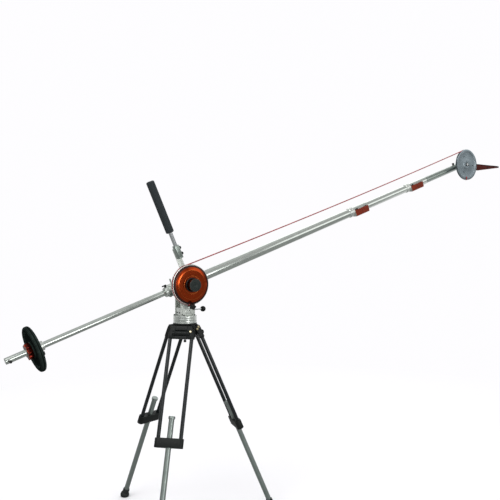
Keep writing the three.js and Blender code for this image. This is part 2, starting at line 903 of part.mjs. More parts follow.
function innerTubeGeometry() {
  const tail = middleRadius - boomWall - fitGap;
  const tube = boomTube(innerRadius, innerStart, innerEnd, 0, tail, 0);
  const hole = rod(endKnobStud + fitGap, 0, innerRadius + overrun, smallSides)
    .translate(innerEnd - endKnobPlace, 0, 0);
  return cut(tube, hole);
}

function endBlockGeometry() {
  const start = innerEnd + fitGap;
  const spigotRadius = innerRadius - boomWall - fitGap;
  const front = endReach + endBlockFront;
  const body = block([start, -endBlockHalf, -endBlockHalf], [front, endBlockHalf, endBlockHalf]);
  const spigot = alongX(rod(spigotRadius, innerEnd - endSpigotLength, start + sink, tubeSides));
  const halfCut = endBlockHalf + overrun;
  const bore = towardsNear(rod(endAxleRadius + fitGap, -halfCut, halfCut, tubeSides))
    .translate(endReach, 0, 0);
  const hole = rod(endKnobStud + fitGap, 0, spigotRadius + overrun, smallSides)
    .translate(innerEnd - endKnobPlace, 0, 0);
  return cut(joined(body, spigot), bore, hole);
}

function endKnobGeometry() {
  const seat = innerRadius + fitGap;
  const head = rod(endKnobRadius, seat, seat + endKnobHeight, smallSides);
  const stud = rod(endKnobStud, fitGap, seat + sink, smallSides);
  return joined(head, stud).translate(innerEnd - endKnobPlace, 0, 0);
}

function endAxleGeometry() {
  const face = endBlockHalf + fitGap;
  const near = pulleyEnd + endAxleTail;
  const profile = [
    [0, -face - endAxleHead],
    [endAxleHeadRadius, -face - endAxleHead],
    [endAxleHeadRadius, -face],
    [endAxleRadius, -face],
    [endAxleRadius, face],
    [endShoulderRadius, face],
    [endShoulderRadius, barFace],
    [endAxleRadius, barFace],
    [endAxleRadius, near],
    [0, near],
  ];
  return towardsNear(turned(profile, tubeSides));
}

// The camera platform, in a level frame at the far axle: a boss, an arm and a channel open below
function platformGeometry() {
  const near = -barFace;
  const far = near + platformWidth;
  const armFar = near + platformBossDepth;
  const boss = towardsNear(rod(platformBossRadius, -armFar, -near, tubeSides));
  const bossBore = towardsNear(
    rod(endShoulderRadius + fitGap, -armFar - overrun, -near + overrun, tubeSides),
  );
  const bottomAt = [platformRootBottom, platformDeepest, platformTipBottom];
  const armShape = outline([
    [0, platformRootBottom],
    [platformBodyStart + sink, platformRootBottom],
    [platformBodyStart + sink, platformTop],
    [0, platformTop],
  ]);
  const arm = towardsNear(slab(armShape, platformBossDepth)).translate(0, armFar, 0);
  const bodyShape = outline([
    [platformBodyStart, bottomAt[0]],
    [platformDeepestPlace, bottomAt[1]],
    [platformLength, bottomAt[2]],
    [platformLength, platformTop],
    [platformBodyStart, platformTop],
  ]);
  const body = towardsNear(slab(bodyShape, platformWidth)).translate(0, far, 0);
  const hollow = block(
    [platformBodyStart + platformWall, near + platformWall, platformDeepest - overrun],
    [platformLength - platformWall, far - platformWall, platformTop - platformPlate],
  );
  const slotMiddle = (near + far) / 2;
  const slot = block(
    [cameraSlotStart, slotMiddle - cameraSlotWidth / 2, platformTop - platformPlate - overrun],
    [cameraSlotEnd, slotMiddle + cameraSlotWidth / 2, platformTop + overrun],
  );
  return cut(joined(boss, arm, cut(body, hollow, slot)), bossBore);
}

// The rear tube and the weight, in the boom's frame
function rearTubeGeometry() {
  const inner = rearRadius - rearWall;
  const profile = [
    [inner, rearSocketFloor + fitGap],
    [inner, rearEnd - rearCap],
    [0, rearEnd - rearCap],
    [0, rearEnd],
    [rearRadius, rearEnd],
    [rearRadius, rearSocketFloor + fitGap],
    [inner, rearSocketFloor + fitGap],
  ];
  const tube = turned(profile.reverse(), tubeSides).rotateY(-quarterTurn);
  const half = rearRadius + overrun;
  const hole = towardsNear(rod(endPinRadius + fitGap, -half, half, smallSides))
    .translate(-endPinPlace, 0, 0);
  return cut(tube, hole);
}

function endPinGeometry() {
  const pin = rod(endPinRadius, -endPinFar, endPinNear + sink, smallSides);
  const head = rod(endPinHeadRadius, endPinNear, endPinNear + endPinHead, smallSides);
  return towardsNear(joined(pin, head)).translate(-endPinPlace, 0, 0);
}

function weightPlateGeometry() {
  const bore = rearRadius + fitGap;
  const half = weightThickness / 2;
  const profile = [
    [bore, -half],
    [weightHubRadius, -half],
    [weightHubRadius, weightRecess - half],
    [weightRimInner, weightRecess - half],
    [weightRimInner, -half],
    [weightRadius - weightEdge, -half],
    [weightRadius, weightEdge - half],
    [weightRadius, half - weightEdge],
    [weightRadius - weightEdge, half],
    [weightRimInner, half],
    [weightRimInner, half - weightRecess],
    [weightHubRadius, half - weightRecess],
    [weightHubRadius, half],
    [bore, half],
    [bore, -half],
  ];
  return alongX(turned(profile, discSides)).translate(-weightPlace, 0, 0);
}

function lobedCollarGeometry() {
  const shape = lobedOutline(lobedCollarRadius, lobedCollarLobe, lobedCollarLobes);
  const end = weightPlace + weightThickness / 2 + fitGap + lobedCollarLength;
  const body = alongX(slab(shape, lobedCollarLength)).translate(-end, 0, 0);
  const boreEnd = lobedCollarLength + overrun - end;
  const bore = alongX(rod(rearRadius + fitGap, -end - overrun, boreEnd, tubeSides));
  return cut(body, bore);
}

function weightStopGeometry() {
  const start = weightThickness / 2 + fitGap - weightPlace;
  const ring = alongX(pipe(stopRadius, rearRadius + fitGap, start, start + stopLength, tubeSides));
  const hole = rod(weightKnobStud + fitGap, -stopRadius - overrun, 0, smallSides)
    .translate(start + stopLength / 2, 0, 0);
  return cut(ring, hole);
}

function weightKnobGeometry() {
  const place = weightThickness / 2 + fitGap - weightPlace + stopLength / 2;
  const seat = -stopRadius - fitGap;
  const head = rod(weightKnobRadius, seat - weightKnobHeight, seat, nutSides * 2);
  const stud = rod(weightKnobStud, seat - sink, -rearRadius - 2 * fitGap, smallSides);
  return joined(head, stud).translate(place, 0, 0);
}

// The cord: straight runs above the boom, and wraps that follow the pulleys' grooves
function cordRun(start, end) {
  return alongX(rod(cordRadius, start, end, cordSides)).translate(0, -cordOffset, cordLevel);
}

class GrooveArc extends THREE.Curve {
  constructor(start, turn) {
    super();
    this.start = start;
    this.turn = turn;
  }

  getPoint(share, target = new THREE.Vector3()) {
    const angle = this.start + this.turn * share;
    return target.set(-cordLevel * Math.sin(angle), -cordOffset, cordLevel * Math.cos(angle));
  }
}

function cordWrap(turn) {
  const step = fitGap / cordLevel;
  const start = boomTilt + Math.sign(turn) * step;
  const section = new THREE.Shape();
  for (let i = 0; i < cordSides; i += 1) {
    const angle = (i / cordSides) * 2 * Math.PI;
    const point = [cordRadius * Math.cos(angle), cordRadius * Math.sin(angle)];
    if (i === 0) section.moveTo(...point);
    else section.lineTo(...point);
  }
  const path = new GrooveArc(start, turn - Math.sign(turn) * step);
  return new THREE.ExtrudeGeometry(section, { steps: cordSteps, bevelEnabled: false, extrudePath: path });
}

// The whole crane, built about the tilt axis
const crane = new THREE.Group();

crane.add(part("crown", crownGeometry(), blackCasting));
crane.add(part("tie_down", tieDownGeometry(), blackPlastic));
legNames.forEach((name, index) => {
  crane.add(leg(name, firstLegTurn + (index * 2 * Math.PI) / legNames.length));
});

crane.add(part("base_ring", baseRingGeometry(), satinAluminium));
crane.add(part("turn_base", turnBaseGeometry(), satinAluminium));
crane.add(part("yoke_near", cheekGeometry(true).translate(0, -cheekInner, 0), satinAluminium));
crane.add(part("yoke_far", cheekGeometry(false).translate(0, cheekOuter, 0), satinAluminium));
crane.add(part("pan_lever", panLeverGeometry(), blackPlastic));
crane.add(part("star_knob", starKnobGeometry(), blackPlastic));
crane.add(part("pivot_axle", axleGeometry(), brightSteel));
crane.add(part("drag_disc", dragDiscGeometry(), copperAnodised));
crane.add(part("hub_knob", hubKnobGeometry(), copperAnodised));
crane.add(part("head_pulley", pulleyGeometry(axleRadius + fitGap), satinAluminium));

const handle = frame([0, 0, 0], -handleLean);
handle.add(part("handle_bar", handleBarGeometry(), satinAluminium));
handle.add(part("handle_clamp", handleClampGeometry(), darkAluminium));
handle.add(part("handle_screw", handleScrewGeometry(), blackPlastic));
handle.add(part("handle_rod", handleRodGeometry(), satinAluminium));
handle.add(part("handle_grip", gripGeometry(), foam));
crane.add(handle);

const outerClampStart = outerRingStart + ringLength + fitGap;
const middleClampStart = middleRingStart + ringLength + fitGap;
const outerBore = outerRadius - boomWall;
const outerBush = middleRadius + fitGap;
const outerTube = boomTube(outerRadius, blockFront + fitGap, outerEnd, outerRingStart, 0, outerBush);
const middleTube = boomTube(
  middleRadius,
  middleStart,
  middleEnd,
  middleRingStart,
  outerBore - fitGap,
  innerRadius + fitGap,
);
const outerClamp = clampGeometry(outerRadius, outerClampStart, outerClampLength);
const middleClamp = clampGeometry(middleRadius, middleClampStart, middleClampLength);
const boom = frame([0, 0, 0], -boomTilt);
boom.add(part("head_block", headBlockGeometry(), satinAluminium));
boom.add(part("rear_lever", rearLeverGeometry(), blackPlastic));
boom.add(part("outer_tube", outerTube, satinAluminium));
boom.add(part("outer_clamp", outerClamp, maroonAnodised));
boom.add(part("outer_clamp_screw", clampScrewGeometry(outerRadius, outerClampStart), blackPlastic));
boom.add(part("middle_tube", middleTube, satinAluminium));
boom.add(part("middle_clamp", middleClamp, maroonAnodised));
boom.add(part("middle_clamp_screw", clampScrewGeometry(middleRadius, middleClampStart), blackPlastic));
boom.add(part("inner_tube", innerTubeGeometry(), darkAluminium));
boom.add(part("end_block", endBlockGeometry(), darkAluminium));
boom.add(part("end_knob", endKnobGeometry(), blackPlastic));
boom.add(part("rear_tube", rearTubeGeometry(), satinAluminium));
boom.add(part("end_pin", endPinGeometry(), brightSteel));
boom.add(part("weight_plate", weightPlateGeometry(), castIron));
boom.add(part("weight_collar", lobedCollarGeometry(), redCollarFinish));
boom.add(part("weight_stop", weightStopGeometry(), blackCasting));
boom.add(part("weight_knob", weightKnobGeometry(), blackPlastic));
boom.add(part("cord_rear", cordRun(fitGap, cordSplit), cordFinish));
boom.add(part("cord_front", cordRun(cordSplit + fitGap, endReach - fitGap), cordFinish));
crane.add(boom);
crane.add(part("cord_wrap_head", cordWrap(headWrapTurn), cordFinish));

const levelEnd = frame([endReach * Math.cos(boomTilt), 0, endReach * Math.sin(boomTilt)]);
levelEnd.add(part("end_axle", endAxleGeometry(), brightSteel));
levelEnd.add(part("end_pulley", pulleyGeometry(endAxleRadius + fitGap), darkAluminium));
levelEnd.add(part("camera_platform", platformGeometry(), maroonAnodised));
levelEnd.add(part("cord_wrap_end", cordWrap(-endWrapTurn), cordFinish));
crane.add(levelEnd);

// The part's frame has its origin on the floor, at the middle of the whole crane
const bounds = new THREE.Box3().setFromObject(crane, true);
const middle = bounds.getCenter(new THREE.Vector3());
crane.position.set(-middle.x, -middle.y, -bounds.min.z);
const jib = new THREE.Group();
jib.add(crane);

export default jib;
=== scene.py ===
"""A camera jib crane on its tripod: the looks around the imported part.

Lengths in the piece functions are millimetres in the piece's own frame; the mesh maker writes metres.
"""
import json
from math import acos, asin, atan, cos, pi, radians, sin

import bmesh
import bpy
from mathutils import Matrix, Vector
from mathutils.geometry import tessellate_polygon

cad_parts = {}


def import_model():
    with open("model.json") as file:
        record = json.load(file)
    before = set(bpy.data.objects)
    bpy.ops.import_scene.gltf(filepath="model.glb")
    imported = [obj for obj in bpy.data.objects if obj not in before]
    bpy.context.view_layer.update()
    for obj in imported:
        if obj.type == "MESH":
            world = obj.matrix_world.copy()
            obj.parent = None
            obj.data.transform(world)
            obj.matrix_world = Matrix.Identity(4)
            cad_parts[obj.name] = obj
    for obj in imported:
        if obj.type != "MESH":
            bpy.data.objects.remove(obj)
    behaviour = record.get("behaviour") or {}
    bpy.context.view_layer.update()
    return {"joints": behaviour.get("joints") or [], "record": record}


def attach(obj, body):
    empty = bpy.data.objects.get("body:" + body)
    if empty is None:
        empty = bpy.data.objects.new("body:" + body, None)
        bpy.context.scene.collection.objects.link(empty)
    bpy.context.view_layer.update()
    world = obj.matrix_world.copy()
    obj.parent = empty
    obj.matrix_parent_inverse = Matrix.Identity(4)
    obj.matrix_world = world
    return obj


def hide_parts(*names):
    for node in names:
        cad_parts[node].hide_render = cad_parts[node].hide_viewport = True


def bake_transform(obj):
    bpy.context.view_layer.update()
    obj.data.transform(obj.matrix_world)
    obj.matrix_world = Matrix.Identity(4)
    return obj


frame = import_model()
joints = {joint["name"]: joint for joint in frame["joints"]}
record = frame["record"]
SLOTS = {subpart["node"]: subpart["material_slot"] for subpart in record["subparts"]}
BODIES = {node: body for body, nodes in record["behaviour"]["bodies"].items() for node in nodes}

MM = 0.001
QUARTER = pi / 2
TURN = 2 * pi

# The stance, as in the part
PIVOT = Vector(joints["boom_tilt"]["pos_m"])
PIVOT_LEVEL = joints["boom_tilt"]["pos_m"][2] / MM
END = Vector(joints["end_level"]["pos_m"])
TILT = radians(19.1)
LEAN = radians(24.1)
SPLAY = radians(23.4)
FIRST_LEG = radians(-14)
LEGS = ("right", "far", "near")
LEG_TURNS = [FIRST_LEG + TURN * i / len(LEGS) for i in range(len(LEGS))]
GAP = 0.3


def turn(axis, angle):
    return Matrix.Rotation(angle, 4, axis)


def move(x, y, z):
    return Matrix.Translation((x, y, z))


CRANE = Matrix.Translation(PIVOT)
BOOM = CRANE @ turn("Y", -TILT)
HANDLE = CRANE @ turn("Y", -LEAN)
LEVEL = Matrix.Translation(END)
NEAR = turn("X", QUARTER)
FAR = turn("X", -QUARTER)
ALONG = turn("Y", QUARTER)
REAR = turn("Y", -QUARTER)
ACROSS = turn("Z", QUARTER) @ NEAR

# Camera: the photograph's place and angle
STANDPOINT = (-1.560815, -2.899178, 0.228729)
BEARING = radians(55.9996)
DROP = radians(0.9837)
ROLL = radians(0.1685)
LOOKING = turn("Z", BEARING - QUARTER) @ turn("X", QUARTER - DROP) @ turn("Z", ROLL)
SIGHT = (-LOOKING[0][2], -LOOKING[1][2], 0)
camera_data = bpy.data.cameras.new("camera")
camera_data.sensor_width = 36
camera_data.lens = 46.8
camera_data.clip_end = 100
camera = bpy.data.objects.new("camera", camera_data)
bpy.context.scene.collection.objects.link(camera)
camera.matrix_world = Matrix.Translation(PIVOT + Vector(STANDPOINT)) @ LOOKING
bpy.context.scene.camera = camera


# Materials
def linear(code):
    """A hex colour as linear RGBA."""
    values = [int(code[i : i + 2], 16) / 255 for i in (0, 2, 4)]
    return [v / 12.92 if v <= 0.04045 else ((v + 0.055) / 1.055) ** 2.4 for v in values] + [1]


def grey(value):
    return (value, value, value, 1)


class Tree:
    """The nodes of a material or a world, with the links made as the nodes are added."""

    def __init__(self, owner, cleared=False):
        owner.use_nodes = True
        self.owner = owner
        self.nodes, self.links = owner.node_tree.nodes, owner.node_tree.links
        if cleared:
            self.nodes.clear()

    def add(self, kind, inputs=None, **settings):
        node = self.nodes.new("ShaderNode" + kind)
        for key, value in settings.items():
            setattr(node, key, value)
        for key, value in (inputs or {}).items():
            self.put(node.inputs[key], value)
        return node

    def put(self, socket, value):
        if isinstance(value, bpy.types.NodeSocket):
            self.links.new(value, socket)
        else:
            socket.default_value = value

    def maths(self, operation, *values):
        return self.add("Math", dict(enumerate(values)), operation=operation).outputs[0]

    def vector_maths(self, operation, *values):
        return self.add("VectorMath", dict(enumerate(values)), operation=operation).outputs

    def span(self, value, low, high, start=0.0, end=1.0):
        inputs = {"Value": value, "From Min": low, "From Max": high, "To Min": start, "To Max": end}
        return self.add("MapRange", inputs).outputs["Result"]

    def noise(self, vector, scale, detail):
        inputs = {"Vector": vector, "Scale": scale, "Detail": detail, "Roughness": 0.55}
        return self.add("TexNoise", inputs).outputs["Fac"]

    def mix(self, share, first, second):
        return self.add("Mix", {0: share, 6: first, 7: second}, data_type="RGBA").outputs[2]

    def blend(self, share, first, second):
        return self.add("MixShader", {0: share, 1: first, 2: second}).outputs[0]

    def place(self):
        return self.add("TexCoord").outputs["Object"]

    def stretched(self, scale):
        return self.add("Mapping", {"Vector": self.place(), "Scale": scale}).outputs["Vector"]

    def radial(self):
        """Distance from the local Z axis, as a vector for ring patterns."""
        flat = self.vector_maths("MULTIPLY", self.place(), (1, 1, 0))[0]
        return self.add("CombineXYZ", {"X": self.vector_maths("LENGTH", flat)["Value"]}).outputs[0]

    def bump(self, height, strength, distance):
        """A bump that stands as far out as distance, in millimetres."""
        inputs = {"Strength": strength, "Distance": distance * MM, "Height": height}
        return self.add("Bump", inputs).outputs["Normal"]

    def shade(self, sockets):
        shader = self.nodes["Principled BSDF"]
        for key, value in sockets.items():
            self.put(shader.inputs[key], value)
        return self.owner


EVEN = (1, 1, 1)
TUBE_GRAIN = (0.02, 1, 1)
RED_GRAIN = (0.1, 1, 1)
POLE_GRAIN = (1, 1, 0.02)
FINE = 0.01
DULL = {"Specular IOR Level": 0.25}
MATT = {"Specular IOR Level": 0}


def finish_look(tree, grain, colours, rough, metallic, bump, wear_and_sheen, sockets):
    """Colour, roughness and bump from a grain and from larger patches, with paler edges: worn, and a
    painted sheen on cast iron.
    """
    colour, dark, wear_and_sheen_colour = [linear(code) for code in colours.split()]
    patch = tree.noise(tree.stretched(EVEN), 25, 4.0)
    tone = tree.maths("MULTIPLY_ADD", grain, 0.5, tree.maths("MULTIPLY", patch, 0.5))
    base = tree.mix(tree.span(tone, 0.3, 0.7), dark, colour)
    wear_and_sheen_mask = tree.add("Attribute", attribute_name="wear_and_sheen").outputs["Fac"]
    wear_and_sheen_share = tree.maths("MULTIPLY", wear_and_sheen_mask, tree.span(patch, 0.35, 0.65, wear_and_sheen * 0.3, wear_and_sheen))
    # The edge mask pales worn edges, and on cast iron it paints a sheen along the rim.
    return tree.shade({
        "Base Color": tree.mix(wear_and_sheen_share, base, wear_and_sheen_colour),
        "Metallic": metallic,
        "Roughness": tree.span(tone, 0.25, 0.75, *rough),
        "Normal": tree.bump(grain, 1.0, bump),
        **sockets,
    })


def grained(name, colours, rough, metallic=0.0, scale=EVEN, size=900, bump=0.05, wear_and_sheen=0.6, **sockets):
    """A look with its grain drawn out along an axis; colours are main, dark and edge: wear, and cast iron's
    painted sheen.
    """
    tree = Tree(bpy.data.materials.new(name))
    grain = tree.noise(tree.stretched(scale), size, 4.0)
    return finish_look(tree, grain, colours, rough, metallic, bump, wear_and_sheen, sockets)


def turned(name, colours, rough, metallic=1.0, size=2600):
    """A look with the fine rings of a lathe."""
    tree = Tree(bpy.data.materials.new(name))
    grain = tree.noise(tree.radial(), size, 1.0)
    return finish_look(tree, grain, colours, rough, metallic, 0.005, 0.6, {})


def braided(name):
    """A braided cord: strands that cross at a slant, red with painted shade in the hollows between them,
    and pale and dark flecks.
    """
    strands, pitch = 4.0, 0.16
    tree = Tree(bpy.data.materials.new(name))
    split = tree.add("SeparateXYZ", {0: tree.add("UVMap").outputs["UV"]}).outputs
    waves, cells = [], []
    along = tree.maths("MULTIPLY", split["X"], pitch)
    for sign in (1, -1):
        phase = tree.maths("MULTIPLY_ADD", split["Y"], strands * sign, along)
        waves.append(tree.maths("SINE", tree.maths("MULTIPLY", phase, TURN)))
        cells.append(tree.maths("SNAP", phase, 0.5))
    height = tree.maths("MULTIPLY", *waves)
    cell = tree.add("CombineXYZ", {"X": cells[0], "Y": cells[1]}).outputs[0]
    fleck = tree.add("TexWhiteNoise", {"Vector": cell}, noise_dimensions="2D").outputs["Value"]
    # Painted shade: the red is darker in the weave's low parts, between the strands.
    base = tree.mix(tree.span(height, -0.6, 0.6), linear("86101A"), linear("B82028"))
    base = tree.mix(tree.span(fleck, 0.9, 0.92), base, linear("D8A8A4"))
    return tree.shade({
        "Base Color": tree.mix(tree.span(fleck, 0.13, 0.11), base, linear("3A1A1C")),
        "Roughness": tree.span(height, -1.0, 1.0, 0.85, 0.7),
        "Sheen Weight": 0.1,
        "Normal": tree.bump(height, 0.7, 0.4),
    })


LOOKS = {
    "satin": grained("satin_aluminium", "D2D6D0 BEC4BF ECEEEC", (0.26, 0.36), 0.75, bump=FINE),
    "tube": grained("drawn_tube", "C6CBC5 B2B8B3 E8EAE8", (0.12, 0.18), 0.92, TUBE_GRAIN, bump=FINE),
    "inner": grained("inner_tube", "98A19B 808A84 CCD2CE", (0.22, 0.32), 0.85, TUBE_GRAIN, bump=FINE),
    "plate": grained("brushed_plate", "D6DAD3 C2C8C2 EEF0EE", (0.3, 0.4), 0.6, POLE_GRAIN, bump=FINE),
    "turned": turned("turned_aluminium", "D0D4CF BCC2BD ECEEEC", (0.22, 0.32), 0.8),
    "pulley": turned("pulley_face", "8E9AA0 727E84 DDE2E4", (0.24, 0.34), 0.85),
    "steel": turned("bright_steel", "DADCDD BFC3C6 F0F0F0", (0.14, 0.24)),
    "chrome": turned("chrome_tip", "E4E6E8 C8CCCE FFFFFF", (0.08, 0.16)),
    "copper": turned("copper_anodised", "A63C18 88300F FFA858", (0.14, 0.2), 0.95, 1800),
    "hub": turned("knurled_hub", "5A2412 30120A C07040", (0.2, 0.3), 0.95, 1800),
    "rim": turned("copper_rim", "3A1610 240C08 7A3018", (0.3, 0.4), 0.6, 1800),
    "maroon": grained("maroon_anodised", "8E3520 6E2614 C88058", (0.28, 0.4), 0.75, RED_GRAIN, 500),
    # Painted shade: the platform's red is darker than the clamps' maroon, standing in for the shadow on its
    # underside.
    "platform": grained("dark_red", "5A1A10 3C100A 9A5038", (0.3, 0.42), 0.6, RED_GRAIN, 500, **DULL),
    "collar": grained("red_collar", "64180C 440F07 E86A40", (0.18, 0.28), 0.9, size=300),
    "casting": grained("black_casting", "141817 0D100F 343A38", (0.42, 0.56), size=1100, bump=0.06, **DULL),
    # Cast iron reflects nothing here; its pale edge colour 4A5A54 is a painted sheen along the plate's rim.
    "iron": grained("cast_iron", "161B19 0D1110 4A5A54", (0.3, 0.4), bump=0.08, **MATT),
    "black": grained("black_plastic", "121514 0B0D0C 2E3230", (0.34, 0.48), size=1600, bump=0.04, **DULL),
    "cap": grained("dark_cap", "222A28 18201E 4A5452", (0.3, 0.42), size=1600, bump=0.04, **DULL),
    "leg": grained("black_tube", "171D1F 0F1416 3C484C", (0.28, 0.4), 0.25, POLE_GRAIN, bump=FINE),
    "leg_lower": grained("leg_lower", "9AA29E 858E8A D4D8D6", (0.36, 0.46), 0.9, POLE_GRAIN, bump=FINE),
    "foam": grained("grip_foam", "2E3538 1F2527 3E464A", (0.82, 0.95), size=1300, bump=0.5, wear_and_sheen=0.2),
    "rubber": grained("rubber", "191B1B 101211 2C302F", (0.68, 0.82), size=1500, bump=0.12, wear_and_sheen=0.3),
    "brass": turned("brass_bolt", "D2C39A B4A478 F0E8CC", (0.2, 0.32)),
    "cord": braided("braided_cord"),
}


# Outlines
def arc(radius, start, stop, steps, x=0.0, y=0.0):
    """Points along an arc about (x, y), its ends among them."""
    angles = [start + (stop - start) * i / steps for i in range(steps + 1)]
    return [(x + radius * cos(a), y + radius * sin(a)) for a in angles]


def ngon(radius, sides, x=0.0, y=0.0):
    return arc(radius, 0, TURN, sides, x, y)[:-1]


def lobed(radius, lobe, lobes, per_lobe):
    count = lobes * per_lobe
    reach = [radius + lobe * cos(lobes * TURN * i / count) for i in range(count)]
    return [(r * cos(TURN * i / count), r * sin(TURN * i / count)) for i, r in enumerate(reach)]


def rectangle(x0, y0, x1, y1):
    return [(x0, y0), (x1, y0), (x1, y1), (x0, y1)]


def octagon(w, h, cut):
    """A rectangle of half sides w and h with its corners cut off."""
    right = [(w - cut, -h), (w, -h + cut), (w, h - cut), (w - cut, h)]
    return [(-w, -h + cut), (-w + cut, -h)] + right + [(-w + cut, h), (-w, h - cut)]


def groove(radius, level, depth, half):
    """A turned V groove, for a profile that runs upwards."""
    return [(radius, level - half), (radius - depth, level), (radius, level + half)]


def area(points):
    return sum(a[0] * b[1] - b[0] * a[1] for a, b in zip(points, points[1:] + points[:1])) / 2


def inset(points, distance):
    """The outline moved to its left by distance, with mitred corners."""
    sharpest = 0.35
    moved = []
    for i, here in enumerate(points):
        before = Vector(here) - Vector(points[i - 1])
        after = Vector(points[(i + 1) % len(points)]) - Vector(here)
        n1 = Vector((-before.y, before.x)).normalized()
        n2 = Vector((-after.y, after.x)).normalized()
        shift = (n1 + n2) / max(sharpest, 1 + n1.dot(n2))
        moved.append((here[0] + shift.x * distance, here[1] + shift.y * distance))
    return moved


def rounded(points, soft, closed=False, steps=3):
    """The line of points with its corners eased over the length soft; each point gets its edge share, for
    wear and for cast iron's painted sheen.
    """
    share_of_side, nearly_straight, least = 0.45, 0.1, 0.01
    count = len(points)
    result = []
    for i, (x, y) in enumerate(points):
        here = Vector((x, y))
        if not closed and i in (0, count - 1):
            result.append((x, y, 0.0))
            continue
        before = Vector(points[i - 1]) - here
        after = Vector(points[(i + 1) % count]) - here
        reach = min(soft, share_of_side * before.length, share_of_side * after.length)
        bend = abs(before.normalized().cross(after.normalized()))
        if bend < nearly_straight and before.dot(after) < 0 or reach < least:
            result.append((x, y, 0.0))
            continue
        start = here + before.normalized() * reach
        stop = here + after.normalized() * reach
        for step in range(steps + 1):
            t = step / steps
            point = start * (1 - t) ** 2 + here * (2 * t * (1 - t)) + stop * t**2
            result.append((point.x, point.y, 4 * t * (1 - t)))
    return result


# Shapes
NO_RADIUS = 0.001


class Shape:
    """A closed surface: points, each one's edge share for wear and painted sheen, faces and, for cords,
    each face's pattern corners.
    """

    def __init__(self):
        self.points, self.wear_and_sheen, self.faces, self.uvs = [], [], [], []

    def ring(self, points, wear_and_sheen=0.0):
        first = len(self.points)
        self.points += [Vector(p) for p in points]
        self.wear_and_sheen += [wear_and_sheen] * len(points)
        return list(range(first, first + len(points)))

    def bridge(self, a, b):
        if len(a) == 1:
            a, b = b, a
        for i in range(len(a)):
            j = (i + 1) % len(a)
            face = (a[i], a[j], b[0]) if len(b) == 1 else (a[i], a[j], b[j], b[i])
            self.faces.append(face)

    def moved(self, *matrices):
        whole = Matrix.Identity(4)
        for matrix in matrices:
            whole = whole @ matrix
        copy = Shape()
        copy.points = [whole @ p for p in self.points]
        copy.wear_and_sheen, copy.faces, copy.uvs = self.wear_and_sheen, self.faces, self.uvs
        return copy


def loft(rings, wear_and_sheen_levels=None):
    """A body through rings of as many points each, closed at both ends."""
    shape = Shape()
    made = [shape.ring(ring, wear_and_sheen_levels[i] if wear_and_sheen_levels else 0.0) for i, ring in enumerate(rings)]
    for a, b in zip(made, made[1:]):
        shape.bridge(a, b)
    for end in (made[0], made[-1]):
        if len(end) > 2:
            shape.faces.append(tuple(end))
    return shape


def circle(radius, height, sides):
    if radius <= NO_RADIUS:
        return [(0, 0, height)]
    return [(x, y, height) for x, y in ngon(radius, sides)]


def lathe(profile, sides=64, soft=0.6):
    """A body turned about Z. A profile that starts off the axis is a ring's section."""
    closed = profile[0][0] > NO_RADIUS
    points = rounded(profile, soft, closed)
    shape = Shape()
    made = [shape.ring(circle(r, z, sides), w) for r, z, w in points]
    for a, b in zip(made, made[1:] + made[:1] if closed else made[1:]):
        shape.bridge(a, b)
    return shape


def rod(radius, start, end, sides=32, soft=0.6):
    return lathe([(0, start), (radius, start), (radius, end), (0, end)], sides, soft)


def pipe(outer, inner, start, end, sides=48, soft=0.4):
    return lathe([(inner, start), (outer, start), (outer, end), (inner, end)], sides, soft)


def prism(outline, low, high, soft=0.8, holes=(), corner=0.0):
    """An outline pushed up from low to high, with eased rims and any holes through it."""
    steps, corner_steps = 3, 5
    if corner:
        outline = [(x, y) for x, y, wear_and_sheen in rounded(outline, corner, True, corner_steps)]
    loops = [list(outline) if area(outline) > 0 else list(outline)[::-1]]
    loops += [list(hole) if area(hole) < 0 else list(hole)[::-1] for hole in holes]
    levels = []
    for k in range(steps + 1):
        angle = QUARTER * k / steps
        levels.append((soft * (1 - sin(angle)), low + soft * (1 - cos(angle)), sin(2 * angle)))
    levels += [(shrink, high + low - z, wear_and_sheen) for shrink, z, wear_and_sheen in reversed(levels)]
    shape = Shape()
    ends = ([], [])
    for loop in loops:
        made = [shape.ring([(x, y, z) for x, y in inset(loop, shrink)], wear_and_sheen) for shrink, z, wear_and_sheen in levels]
        for a, b in zip(made, made[1:]):
            shape.bridge(a, b)
        ends[0].append(made[0])
        ends[1].append(made[-1])
    for rings in ends:
        flat = [[Vector((shape.points[i].x, shape.points[i].y, 0)) for i in ring] for ring in rings]
        order = [i for ring in rings for i in ring]
        shape.faces += [tuple(order[i] for i in face) for face in tessellate_polygon(flat)]
    return shape


def box(low, high, soft=0.8, corner=0.8):
    """A block with eased edges."""
    return prism(rectangle(low[0], low[1], high[0], high[1]), low[2], high[2], soft, corner=corner)


def ball(radius, centre, rings=20, sides=40):
    steps = [pi * i / rings for i in range(rings + 1)]
    return loft([circle(radius * sin(a), centre - radius * cos(a), sides) for a in steps])


def screw(radius, height, *places):
    """A black screw head on z = 0 with a six-sided socket in its top."""
    sides, third = 24, pi / 3
    size, edge, depth = radius * 0.55, radius * 0.12, height * 0.35
    hexagon = []
    for i in range(sides):
        angle = TURN * i / sides
        reach = size * cos(third / 2) / cos((angle % third) - third / 2)
        hexagon.append((reach * cos(angle), reach * sin(angle)))
    rim = (radius, 0), (radius, height - edge), (radius - edge, height)
    rings = [circle(r, level, sides) for r, level in rim]
    rings += [[(x, y, level) for x, y in hexagon] for level in (height, depth)]
    return ("black", loft(rings, [0, 0.4, 1, 0.3, 0]).moved(*places))


def hex_bolt(radius, height, *places):
    """A brass six-sided bolt head on z = 0 with a chamfered top and a washer under it."""
    washer = rod(radius * 1.35, 0, height * 0.25, 32, 0.3)
    rings = [circle(radius * share, height * level, 6) for share, level in ((1, 0.2), (1, 0.85), (0.88, 1))]
    return ("brass", [shape.moved(*places) for shape in (washer, loft(rings, [0, 0.3, 1]))])


